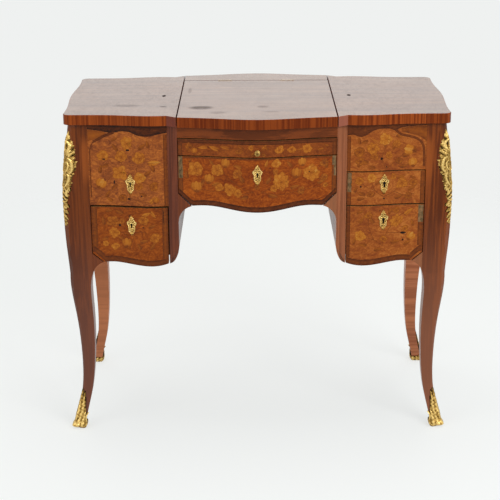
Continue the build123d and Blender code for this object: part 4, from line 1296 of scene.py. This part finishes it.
def repairs(node, seed, *strips):
    """Uneven upright strips, each given by its two sides' x and its two levels. A side's x below 0
    is counted back from the front's right end, and one above 0 from its left end."""
    patch = Inlay(node, seed)
    for x0, x1, z0, z1 in strips:
        end = patch.west if x0 > 0 else patch.east
        level = np.linspace(z0, z1, 14)
        wobble = patch.chance.uniform(-0.7, 0.7, (2, 14))
        sides = end + x0 + 0.3 * wobble[0], end + x1 + wobble[1]
        patch.band(*(np.stack([side, level], 1) for side in sides), 0.5, 3)
    return patch.finish("_filler", filler_material, "marquetry")


filler_material = filler_wood()
repairs("centre_drawer_front", 51, (0.8, 10, 612, 661), (-9, -0.8, 640, 661), (-6, -0.8, 616, 639))
repairs("right_upper_drawer_front", 52, (0.9, 9.5, 573, right_upper.top - 1.0))
repairs("right_lower_drawer_front", 53, (-12, -0.9, 499, right_lower.top - 1.0))
print("repairs: 5 strips of filler")

# %% [markdown]
# ## Gilt bronze
# Castings are chased after they leave the mould: raised parts are burnished bright, and hollows stay
# dull and gather wax and dust. The finish reads how high each point stands from an attribute, so the
# same gold is bright on the ridges and brown in the hollows.

# %% Gilding
def gilding(name, *tones, gloss=0.26):
    """Metal whose colour follows the chasing: shade 1 is a hollow, 0 a burnished ridge. The tones
    are a ridge's, a middle one and a hollow's."""
    ridge, middle, hollow = (srgb(*tone) for tone in tones)
    finish = Finish(name, Metallic=1.0)
    pits = finish.noise(420.0, 3, 0.6)
    wear = finish.noise(90.0, 3, 0.6)
    depth = finish.attribute("shade") + (wear - 0.5) * 0.8 + (pits - 0.5) * 1.1
    colour = finish.ramp(depth, (0.1, ridge), (0.45, middle), (0.95, hollow))
    finish.relief(pits, 0.0008, 0.9)
    return finish.surface(Base_Color=colour, Roughness=depth * 0.35 + gloss)


gilt = gilding("gilt_bronze_chased", (234, 200, 124), (166, 130, 66), (40, 26, 10))
plate_gilt = gilding("gilt_bronze_plates", (250, 220, 146), (204, 166, 94), (84, 58, 24))
brass = gilding("brass_plain", (186, 152, 86), (140, 108, 58), (82, 60, 30), gloss=0.34)
print("metals:", gilt.name, plate_gilt.name, brass.name)

# %% The corner as a surface
lean = math.sqrt(0.5)
cant_facing = 0.97


def corner_line(node):
    """Fits of a corner's cant against height: its place along the cant, how far out it stands, and
    its half width. Read from the leg's faces that point out along the diagonal."""
    points, faces, normals = corners(node)
    outward = (normals[:, 0] - normals[:, 1]) * lean
    cant = points[np.unique(faces[outward > cant_facing])] / mm
    level = cant[:, 2]
    along = (cant[:, 0] + cant[:, 1]) * lean
    out = (cant[:, 0] - cant[:, 1]) * lean
    fit = np.polynomial.Chebyshev.fit
    place, reach = fit(level, along, 7), fit(level, out, 12)
    error = np.abs(out - reach(level)).max()
    print(node, "cant read from", len(cant), "points, error", round(error, 2), "mm")
    return place, reach, fit(level, np.abs(along - place(level)), 7)


cant_place, cant_reach, cant_half = corner_line("front_right_leg")

# half width of the mount on the front face at each level, in millimetres, from the top down
mount_levels = (711, 703, 694, 678, 660, 650, 642, 624, 606, 591, 578, 565, 550, 534, 513, 497)
mount_widths = (1.5, 4.0, 7.5, 12.6, 14.6, 13.4, 16.8, 14.6, 11.4, 11.2, 8.0, 8.6, 5.6, 4.6, 3.8, 1.2)
mount_height = 5.0


def mount_half(across, up):
    """The mount's half width. It spreads a little further over the front (across below 0)."""
    half = np.interp(up, mount_levels[::-1], mount_widths[::-1])
    return half * np.where(across < 0, 1.0, 0.86)


def mount_dome(across, up):
    """How far the casting bulges: height * (1 - |across / half| ** 2.4)."""
    share = np.minimum(np.abs(across) / mount_half(across, up), 1.0)
    return mount_height * (1 - share**2.4) * np.minimum(mount_half(-1.0, up) / 7.0, 1.0)


def corner_surface(side):
    """The corner of a front post with the mount's bulge on it. across runs over the cant and on over
    both faces, which fall away at 45 degrees: fall = (e + sqrt(e * e + 4)) / 2, where e is the
    distance past the cant's edge."""

    def surface(across, up, lift):
        past = np.abs(across) - cant_half(up)
        fall = 0.5 * (past + np.sqrt(past**2 + 4.0))
        along = cant_place(up) + across
        out = cant_reach(up) - fall + lift + mount_dome(across, up)
        return np.stack([side * (along + out) * lean, (along - out) * lean, up], -1) * mm

    return surface


# %% Castings
class Casting(Plates):
    """Leaves, scrolls, ribs and beads that stand on a surface."""

    def __init__(self, node, surface, seed, sink=1.5):
        super().__init__(node, surface, sink, seed)

    def lay(self, across, up, lift, tone, shade, grain):
        """Laid plates are never quite clean: their shade runs from 0.2 to 1."""
        super().lay(across, up, lift, tone, 0.2 + 0.8 * np.asarray(shade), grain)

    def leaves(self, x, z, angle, length, width, height, blunt=1.0, soft=0.7):
        """Pointed leaves in relief, each with a vein."""
        self.petals(x, z, angle, length, width, 0.5, 0.4, blunt, soft, 11, 9, height, 0.45 * height)

    def beads(self, x, z, radius, height):
        """Round beads, or ovals where radius is a pair."""
        wide, tall = np.broadcast_to(radius, 2)
        self.petals(np.subtract(x, wide), z, 0.0, 2 * wide, tall, 0.5, 0.2, 1.0, 0.5, 9, 7, height)

    def pour(self, loops, shade):
        """Closes bodies of metal, whose finish reads nothing but the shade."""
        self.close(loops, 0 * shade + 0.5, shade, np.zeros((*shade.shape, 2)))

    def rope(self, line, radius, height):
        """A rounded moulding along a line of (across, up) points. Its section is half an ellipse:
        radius wide and height tall, with a flat underneath that is sunk in the wood."""
        angle = np.linspace(0, np.pi, 7)
        radius, height = (np.broadcast_to(v, len(line))[:, None] for v in (radius, height))
        across = np.concatenate([radius * np.cos(angle), radius * np.linspace(-0.9, 0.9, 3)], 1)
        sunk = np.full((len(line), 3), -self.depth)
        lift = np.concatenate([height * np.sin(angle) + 0.3, sunk], 1)
        place = line[:, None] + across[..., None] * sideways(line)[:, None]
        shade = np.concatenate([1 - np.sin(angle), np.ones(3)]) + np.zeros((1, len(line), 1))
        self.pour(self.surface(place[..., 0], place[..., 1], lift)[None], shade)

    def scroll(self, x, z, heading, length, bend, radius, height, count=46):
        """A C-scroll. Its heading is that of its middle, and it turns as it goes. Its curvature grows
        from the middle to both ends as |2t - 1| ** 3, so that both ends roll up. bend is the turn in
        degrees along the middle, and each end turns about as far again and more."""
        t = np.linspace(0, 1, count)
        end = np.abs(2 * t - 1)
        turned = np.cumsum(bend * (1 + 5.5 * end**3)) / count
        direction = np.radians(heading + turned - turned[count // 2])
        pace = length * (1.15 - 0.85 * end**2) / count
        path = np.cumsum([pace * np.cos(direction), pace * np.sin(direction)], 1).T
        path += np.array([x, z]) - path[count // 2]
        full = np.cos(np.pi * (t - 0.5))
        self.rope(path, radius * (0.55 + 0.45 * full + 0.35 * end**8), height * (0.75 + 0.25 * full))

    def finish(self, suffix="_cast", material=None, slot="gilt_bronze"):
        """One smooth mesh, sharp only where its faces meet at more than 50 degrees."""
        obj = super().finish(suffix, material or gilt, slot)
        obj.data.polygons.foreach_set("use_smooth", np.full(len(obj.data.polygons), True))
        obj.data.set_sharp_from_angle(angle=math.radians(50))
        return obj


print("a casting is made of:", [name for name in vars(Casting) if name[0] != "_"])

# %% [markdown]
# ### Corner mounts
# From the top: a leaf, a shell, a long cartouche between scrolls, a ribbed stem and a drop of leaves.
# One chased plate wraps round the canted corner and carries the pattern as relief, and scrolls,
# leaves and beads stand on it.

# %% The chased plate
shell_root, shell_foot, drop_top = 646.0, 654.0, 588.0


def chasing(across, up):
    """Relief from about 0 to 1. The shell's ribs fan out from a point, the cartouche has upright ribs in a
    raised border, and the drop has ribs in chevrons: each is a cosine of its own distance."""
    share = across / mount_half(across, up)
    fan = np.arctan2(up - shell_root, across * 1.1)
    shell = 0.5 + 0.5 * np.cos(17 * fan)
    border = np.exp(-(((np.abs(share) - 0.72) / 0.16) ** 2))
    field = 0.5 + 0.4 * np.cos(across * 1.9 + 0.8 * np.sin(up / 6.0)) + 0.15 * np.cos(up / 1.7 + 2 * across)
    cartouche = np.maximum(border * (0.75 + 0.25 * np.cos(up * 0.9)), field * (1 - border))
    chevron = 0.5 + 0.5 * np.cos((up + 1.3 * np.abs(across)) * 2 * np.pi / 10.5)
    in_shell = 1 / (1 + np.exp((shell_foot - up) / 1.5))
    in_drop = 1 / (1 + np.exp((up - drop_top) / 1.5))
    return shell * in_shell + chevron * in_drop + cartouche * (1 - in_shell) * (1 - in_drop)


def chased_plate(cast, sections=170, width=31):
    """The plate from top to bottom. Its edge is cut into small lobes."""
    level = np.linspace(mount_levels[0], mount_levels[-1], sections)[None, :, None]
    share = np.linspace(-1, 1, width)[None, None, :]
    lobes = 0.9 + 0.14 * np.abs(np.sin(level / 2.9)) + 0.05 * np.sin(level / 1.1)
    across = share * mount_half(share, level + 0 * share) * lobes
    up = level + 0 * across
    relief = chasing(across, up)
    cast.lay(across, up, 0.3 + 2.1 * relief, 0.5, np.clip(0.95 - 1.05 * relief, 0, 1), np.zeros(2))


class Mount(Casting):
    """A casting whose scrolls keep inside the plate's edge."""

    def rope(self, line, radius, height):
        edge = 0.9 * mount_half(line[:, 0], line[:, 1])
        kept = np.stack([np.clip(line[:, 0], -edge, edge), line[:, 1]], 1)
        super().rope(kept, radius, height)


print("mounts:", mount_levels[0] - mount_levels[-1], "mm tall")

# %% Corner mounts
# across, up, heading, length, bend, radius and height of each scroll
mount_scrolls = (
    (-6.5, 685, 64, 30, -85, 2.2, 3.4), (6.0, 685, 116, 28, 85, 2.0, 3.2),
    (-13.0, 637, 84, 44, -60, 1.9, 3.8), (11.0, 635, 96, 42, 60, 1.8, 3.6),
    (-8.0, 634, 92, 30, -80, 1.3, 3.2), (7.0, 632, 88, 28, 80, 1.2, 3.0),
    (-9.0, 603, 98, 36, -55, 1.7, 3.4), (8.0, 601, 82, 34, 55, 1.6, 3.2),
    (-6.0, 575, 90, 22, 90, 1.7, 3.0), (5.5, 575, 90, 22, -90, 1.7, 3.0),
)


def corner_mount(node, side, seed):
    """One mount. Pairs of scrolls curl over both faces, the front's a little larger."""
    cast = Mount(node, corner_surface(side), seed, 6.5)
    chased_plate(cast)
    for row in mount_scrolls:
        cast.scroll(*row)
    cast.leaves(0, 690, (66, 90, 114), (17, 22, 17), 4.2, 3.0)
    cast.leaves(0, 655, np.linspace(42, 138, 7), (15, 18, 21, 23, 21, 18, 15), 2.6, 3.0, 1.35, 0.6)
    cast.beads(0, 676, (3.4, 4.6), 3.6)
    cast.beads((-12, 10), 668, 2.2, 2.8)
    cast.leaves((-9, 8), 650, (166, 14), 6.0, 2.2, 3.0)
    cast.leaves((-8, 7), 614, (200, 340), 5.5, 2.0, 3.0)
    cast.beads((-14, 12), 628, 1.5, 3.0)
    cast.beads((-13.5, 11.5), 646, 1.5, 3.0)
    cast.leaves(np.linspace(-5, 5, 4), 646, 270 + np.linspace(-8, 8, 4), 34, 1.7, 2.4, 0.8)
    cast.beads(0, (606, 599, 592), 1.9, 2.8)
    cast.leaves(np.linspace(-6, 6, 5), 590, 270 + np.linspace(-22, 22, 5), 13, 1.8, 2.6)
    collar = np.linspace(-1.5, 1.5, 20)
    cast.rope(np.stack([4.6 * collar, 556 - 1.5 * np.cos(collar)], 1), 1.8, 2.8)
    for start, size in ((552, 1.0), (537, 0.9), (522, 0.78), (509, 0.6)):
        reach = size * np.array([14, 14, 18])
        cast.leaves((-1.5, 1.5, 0), start, (236, 304, 270), reach, 3.2 * size, 3.0 * size)
    cast.beads(0, 499.5, (2.0, 2.8), 2.4)
    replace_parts(cast.finish(), node)


corner_mount("left_corner_mount", -1, 21)
corner_mount("right_corner_mount", 1, 22)

# %% [markdown]
# ### Sabots
# Each foot stands in a cast shoe: a low cup round the foot, a rolled toe, and a leaf with notched
# edges that climbs the outer arris. It is one surface. Going round the leg by an angle, the shoe's
# rim is low behind and rises to a tip in front, with small lobes on its way.

# %% The foot in the shoe
level_step = 3.0
outline_top = 110.0
shoe_inset = 0.2
shoe_radian = 13.0


def leg_outline(node):
    """The leg's middle and half widths in x and y at each level near the foot. The edges that cross
    a level are cut there, and the cuts' lowest and highest x and y are kept."""
    points, faces, _ = corners(node)
    points = points / mm
    start, end = (points[faces[:, pair].ravel()] for pair in ([0, 1, 2], [1, 2, 0]))
    levels = np.arange(points[:, 2].min() + 0.5, outline_top, level_step)
    boxes = []
    for level in levels:
        cut = (start[:, 2] - level) * (end[:, 2] - level) < 0
        a, b = start[cut], end[cut]
        share = ((level - a[:, 2]) / (b[:, 2] - a[:, 2]))[:, None]
        places = (a + (b - a) * share)[:, :2]
        boxes.append((places.min(0), places.max(0)))
    low, high = np.array(boxes).swapaxes(0, 1)
    return levels, (low + high) / 2, (high - low) / 2


foot_levels, foot_middle, foot_half = leg_outline("front_right_leg")


def shoe_surface(side, rear):
    """Points round a leg. across is the angle from the outer arris times shoe_radian, and the
    section is |cos| ** 6 + |sin| ** 6 = 1, a square with round corners."""

    def surface(across, up, lift):
        ring = across / shoe_radian + math.pi / 4
        size = (np.abs(np.cos(ring)) ** 6 + np.abs(np.sin(ring)) ** 6) ** (-1 / 6)
        half_x, half_y = (np.interp(up, foot_levels, foot_half[:, i]) - shoe_inset for i in (0, 1))
        middle_x, middle_y = (np.interp(up, foot_levels, foot_middle[:, i]) for i in (0, 1))
        x = middle_x + (half_x * size + lift) * np.cos(ring)
        y = middle_y - (half_y * size + lift) * np.sin(ring)
        return np.stack([side * x, (-1 if rear else 1) * y, up + 0 * x], -1) * mm

    return surface


print("half widths at the ground:", foot_half[0].round(1).tolist(), "mm")

# %% Sabots
rim_angles = (0.0, 0.25, 0.5, 0.75, 1.0, 1.2, 1.4, 1.65, 2.2, math.pi)
rim_levels = (90, 90, 84, 72, 58, 44, 27, 17, 14, 14)
shoe_columns = 144
shoe_rows, lining_rows = 64, 6


def drawn_in(ring, share):
    """A ring of points drawn in towards its middle."""
    return ring.mean(1, keepdims=True) * (1 - share) + ring * share


def shoe_shell(surface):
    """Rings from the sole's middle out, up the outside to the rim, and down inside the wood. v is 0
    at the sole, 1 at the rim and 0 again at the lining's foot."""
    around = np.linspace(-np.pi, np.pi, shoe_columns + 1)[:-1]
    rim = np.interp(np.abs(around), rim_angles, rim_levels)
    rim = rim + 7.0 * (np.abs(np.sin(8.5 * around + 0.6)) - 0.6) * np.exp(-((around / 1.2) ** 6))
    v = np.concatenate([np.linspace(0, 1, shoe_rows), np.linspace(1, 0, lining_rows)])[:, None]
    inner = np.arange(len(v))[:, None] >= shoe_rows
    z = np.where(inner, 3.0 + (rim - 5.0) * v, rim * v)
    front = np.exp(-((around / 0.85) ** 2))
    tuck = (2.5 + 6.0 * front) * np.clip(1 - z / 9.0, 0, 1) ** 2
    toe = 5.5 * front * np.exp(-(((z - 9.0) / 6.0) ** 2)) - tuck
    waist = -1.4 * front * np.exp(-(((z - 20.0) / 6.0) ** 2))
    veins = 0.5 + 0.5 * np.cos(11 * around + 0.9 * np.sin(z / 9.0))
    lumps = 0.5 + 0.25 * np.cos(z / 1.2 + 7 * around) + 0.25 * np.cos(z / 1.9 - 11 * np.abs(around))
    relief = 0.5 * veins + 0.5 * lumps
    lift = 1.2 + 1.8 * relief * np.minimum(v * 6, 1) + 1.0 * np.sin(np.pi * v)
    lift = np.where(inner, -2.0, lift - 1.6 * v**14 + toe + waist)
    points = surface(around * shoe_radian, z, lift)
    soles = [drawn_in(points[:1], share) for share in (0.02, 0.5, 0.9)]
    linings = [drawn_in(points[-1:], share) for share in (0.5, 0.02)]
    # Near the rim the shade rises steeply: painted shadow along the leaf's thick edge.
    shade = np.clip(0.8 - 0.85 * relief - 0.3 * toe / 5.5 + 0.8 * v**9, 0, 1)
    shade = np.pad(shade, ((len(soles), len(linings)), (0, 0)), constant_values=1)
    return np.concatenate([*soles, points, *linings])[None], shade[None]


def shoes(node, rear):
    """Two shoes with a curled cheek on each side of the leaf."""
    cast = Casting(node, None, 31)
    t = np.linspace(0, 1, 30)
    for side in (-1, 1):
        cast.surface = shoe_surface(side, rear)
        cast.pour(*shoe_shell(cast.surface))
        for hand in (-1, 1):
            path = np.stack([hand * (18 + 3 * t + 2 * np.sin(2 * np.pi * t)), 6 + 31 * t], 1)
            cast.rope(path, 2.2 - 0.8 * t, 2.4 + 1.4 * t**2)
    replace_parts(cast.finish(), node)


shoes("front_sabots", False)
shoes("rear_sabots", True)

# %% [markdown]
# ### Escutcheons and knob
# The keyhole plates are small castings too: a shield pierced for the key, edged with scrolls, with a
# leaf above and a drop below. The drawers and the left false front share one pattern.

# %% Escutcheons
keyhole_rise = 2.0
shield_height = 47.0
shield_rows = (0.0, 0.08, 0.18, 0.28, 0.37, 0.44, 0.55, 0.66, 0.78, 0.88, 0.95, 1.0)
shield_half = (0.5, 2.2, 4.8, 7.8, 11.6, 10.4, 7.4, 8.2, 7.2, 4.8, 2.4, 0.5)


def keyhole_shadow():
    """Painted shade for the dark inside of a keyhole, mottled by noise."""
    finish = Finish("keyhole_dark", Specular_IOR_Level=0.1)
    mottle = finish.noise(900.0, 2, 0.5)
    colour = finish.mix(mottle * 0.4, srgb(14, 10, 8), srgb(40, 28, 20))
    return finish.surface(Base_Color=colour, Roughness=mottle * 0.3 + 0.5)


def escutcheon(node, key_size):
    """A shield round the keyhole, in two halves that leave the keyhole open. t runs down the shield
    and s from the keyhole to the edge, with a raised rim: exp(-((s - 0.85) / 0.16) ** 2). A dark
    plate behind the keyhole is painted shade, standing for the lock's dark inside."""
    low, high = (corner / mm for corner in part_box(node))
    x0, z0 = (low[0] + high[0]) / 2, (low[2] + high[2]) / 2
    cast = Casting(node, front_surface, 41 + int(abs(x0)), 0.6)
    t = np.linspace(0, 1, 64)[None, :, None]
    s = np.linspace(0, 1, 13)
    half = np.interp(t, shield_rows, shield_half) + 0.35 * np.cos(40 * t)
    rise = shield_height * (0.5 - t)
    key = (rise - keyhole_rise) / key_size
    bow = np.sqrt(np.clip(1 - key**2, 0, 1))
    hole = key_size * np.maximum(bow, np.where((key <= 0) & (key > -3.0), 0.62, 0.01))
    rim = np.exp(-(((s - 0.85) / 0.16) ** 2)) + 0.8 * np.exp(-((s / 0.12) ** 2))
    relief = np.maximum(rim, 0.8 * (0.5 + 0.5 * np.cos(1.5 * rise - 6 * s)))
    shade = np.clip(0.9 - 0.95 * relief, 0, 1)
    for hand in (-1, 1):
        across = x0 + hand * (hole + (half - hole) * s)
        cast.lay(across, z0 + rise + 0 * across, 0.9 + 1.7 * relief, 0.5, shade, np.zeros(2))
        cast.scroll(x0 + hand * 5.4, z0 + 11.5, 90 + hand * 30, 12, -hand * 90, 1.0, 3.2, 34)
        cast.scroll(x0 + hand * 5.6, z0 - 8.0, 270 - hand * 8, 13, hand * 80, 1.0, 3.0, 34)
        cast.leaves(x0 + hand * 8.0, z0 + 5.5, 90 - hand * 75, 4.0, 1.4, 2.8)
    cast.leaves(x0, z0 + 14.0, (66, 90, 114), (7.0, 9.2, 7.0), 1.9, 3.2)
    cast.leaves(x0, z0 - 13.0, (247, 270, 293), (7, 10, 7), 1.8, 3.0)
    cast.beads(x0, z0 + 11.0, 1.5, 3.8)
    cast.beads(x0, z0 - 11.0, 1.4, 3.4)
    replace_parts(cast.finish("_cast", plate_gilt), node)
    # a dark plate of painted shade behind the keyhole
    shadow = Plates(node, front_surface, 0.2, 5)
    row = key_size * np.linspace(-3.2, 1.1, 14)[None, :, None] + z0 + keyhole_rise
    column = key_size * np.linspace(-1.1, 1.1, 5)
    shadow.lay(x0 + column + 0 * row, row + np.zeros(5), 0.2, 0, 1, np.zeros(2))
    shadow.finish("_keyhole", keyhole_dark, "lock_steel")


keyhole_dark = keyhole_shadow()
plated = [node for node in nodes if node.endswith("escutcheon")]
for node in plated:
    escutcheon(node, 3.5 if "right" in node else 2.6)
print("escutcheons:", len(plated))

# %% [markdown]
# ## Inside
# Under the lid is a mirror in a moulded frame, the slide is covered in tooled leather, and hinges and
# locks are plain metal. They show when the table is opened, so each has its own finish.

# %% Mirror
def off_middle(finish, node):
    """How far a point is from a node's middle in x and in y, and the node's half width and depth."""
    low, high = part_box(node)
    middle, half = (low + high) / 2, (high - low) / 2
    across, deep = ((finish.axis(name) - middle[i]).maths("ABSOLUTE") for i, name in enumerate("XY"))
    return across, deep, half


def silvered_glass():
    """Old silvering: bright, with brown foxing that thickens towards the edges of the glass."""
    finish = Finish("silvered_glass", Metallic=1.0, Coat_Weight=1.0, Coat_Roughness=0.02)
    across, deep, half = off_middle(finish, "mirror_glass")
    edge = (across * (1 / half[0])).maths("MAXIMUM", deep * (1 / half[1]))
    speck = finish.noise(120.0, 4, 0.7)
    cloud = finish.noise(16.0, 3, 0.6)
    fox = finish.between(speck + cloud * 0.6 + edge * 0.22, 1.0, 1.12)
    colour = finish.mix(fox, srgb(222, 226, 222), srgb(96, 78, 58))
    return finish.surface(Base_Color=colour, Roughness=fox * 0.4 + 0.03)


dress_node("mirror_glass", silvered_glass())
# The moulding takes the stiles' darker copy, which is painted with shade.
planed("mirror_moulding", [left_stile_wood], angle=35)
print("mirror:", nodes["mirror_glass"].data.materials[0].name)

# %% Leather
# how far each gilt line is from the edge, and half its width
broad_line, fine_line = (0.011, 0.0009), (0.015, 0.0004)


def tooled_leather():
    """Calf with pebbled grain. Two gilt lines follow the edge: each is a band of the distance to the
    nearest edge, rubbed through here and there."""
    finish = Finish("tooled_leather", Specular_IOR_Level=0.35)
    across, deep, half = off_middle(finish, "slide_leather")
    edge = (half[0] - across).maths("MINIMUM", half[1] - deep)
    rubbed = finish.noise(60.0, 3, 0.6)
    lines = finish.line(edge, *broad_line) + finish.line(edge, *fine_line)
    gold = lines * finish.between(rubbed, 0.36, 0.5)
    place = finish.node("ShaderNodeTexCoord", output="Object")
    pebble = finish.node("ShaderNodeTexVoronoi", sockets={"Scale": 900.0, "Vector": place})
    worn = finish.noise(9.0, 4, 0.6)
    colour = finish.mix(finish.between(worn, 0.35, 0.7), srgb(52, 60, 38), srgb(88, 84, 52))
    colour = finish.mix(pebble * 0.5, colour, srgb(38, 40, 26))
    colour = finish.mix(gold, colour, srgb(206, 172, 100))
    finish.relief(pebble, 0.0002, 0.6)
    return finish.surface(Base_Color=colour, Roughness=worn * 0.2 + 0.38, Metallic=gold)


dress_node("slide_leather", tooled_leather())
print("leather:", nodes["slide_leather"].data.materials[0].name)

# %% Locks and hinges
def lock_iron():
    """Filed iron, with rust where the damp has reached it."""
    finish = Finish("lock_iron", Metallic=1.0)
    brushed = finish.noise((60.0, 900.0, 900.0), 3, 0.6)
    rust = finish.noise(70.0, 4, 0.65)
    rusty = finish.between(rust, 0.52, 0.66)
    colour = finish.mix(brushed, srgb(92, 88, 84), srgb(134, 130, 124))
    colour = finish.mix(rusty, colour, srgb(98, 60, 38))
    finish.relief(brushed + rusty, 0.0001)
    return finish.surface(Base_Color=colour, Roughness=rusty * 0.35 + 0.34)


lock_material = lock_iron()
hinge_brass = gilding("hinge_brass", (158, 146, 134), (136, 124, 112), (88, 76, 66), gloss=0.4)
locks = [node for node, slot in slot_of.items() if slot == "lock_steel"]
hinges = [node for node in slot_of if "hinge" in node]
for node in locks:
    dress_node(node, lock_material)
for node in hinges:
    dress_node(node, hinge_brass)
print("locks:", len(locks), "hinge parts:", len(hinges))

# %% Knob
# how far along the knob, from 0 at its root to 1, and the share of its full radius there
knob_profile = (
    (0, 0.92), (0.1, 0.95), (0.18, 0.6), (0.36, 0.4),
    (0.56, 0.8), (0.74, 0.98), (0.9, 0.7), (1, 0.05),
)


def knob(around=32):
    """A turned knob, lathed along -Y: a flange, a neck and a button. Its radius is read off a smooth
    line through the profile."""
    cast = Casting("slide_knob", None, 9)
    low, high = cast.low, cast.high
    x0, z0 = (low[0] + high[0]) / 2, (low[2] + high[2]) / 2
    size, length = (high[2] - low[2]) / 2, high[1] - low[1]
    shape = flow(knob_profile, 40)
    t, radius = np.clip(shape[:, :1], 0, 1), np.clip(shape[:, 1:], 0.02, 1.0) * size
    turn = np.linspace(0, 2 * np.pi, around + 1)[:-1]
    x, z = x0 + radius * np.cos(turn), z0 + radius * np.sin(turn)
    loops = np.stack([x, high[1] - t * length + 0 * x, z], -1)[None] * mm
    cast.pour(loops, np.repeat(0.9 - 0.9 * radius / size, around, 1)[None])
    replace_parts(cast.finish("_turned", brass, "brass"), "slide_knob")


knob()

# %% [markdown]
# The dressed table must stay inside the CAD's box.
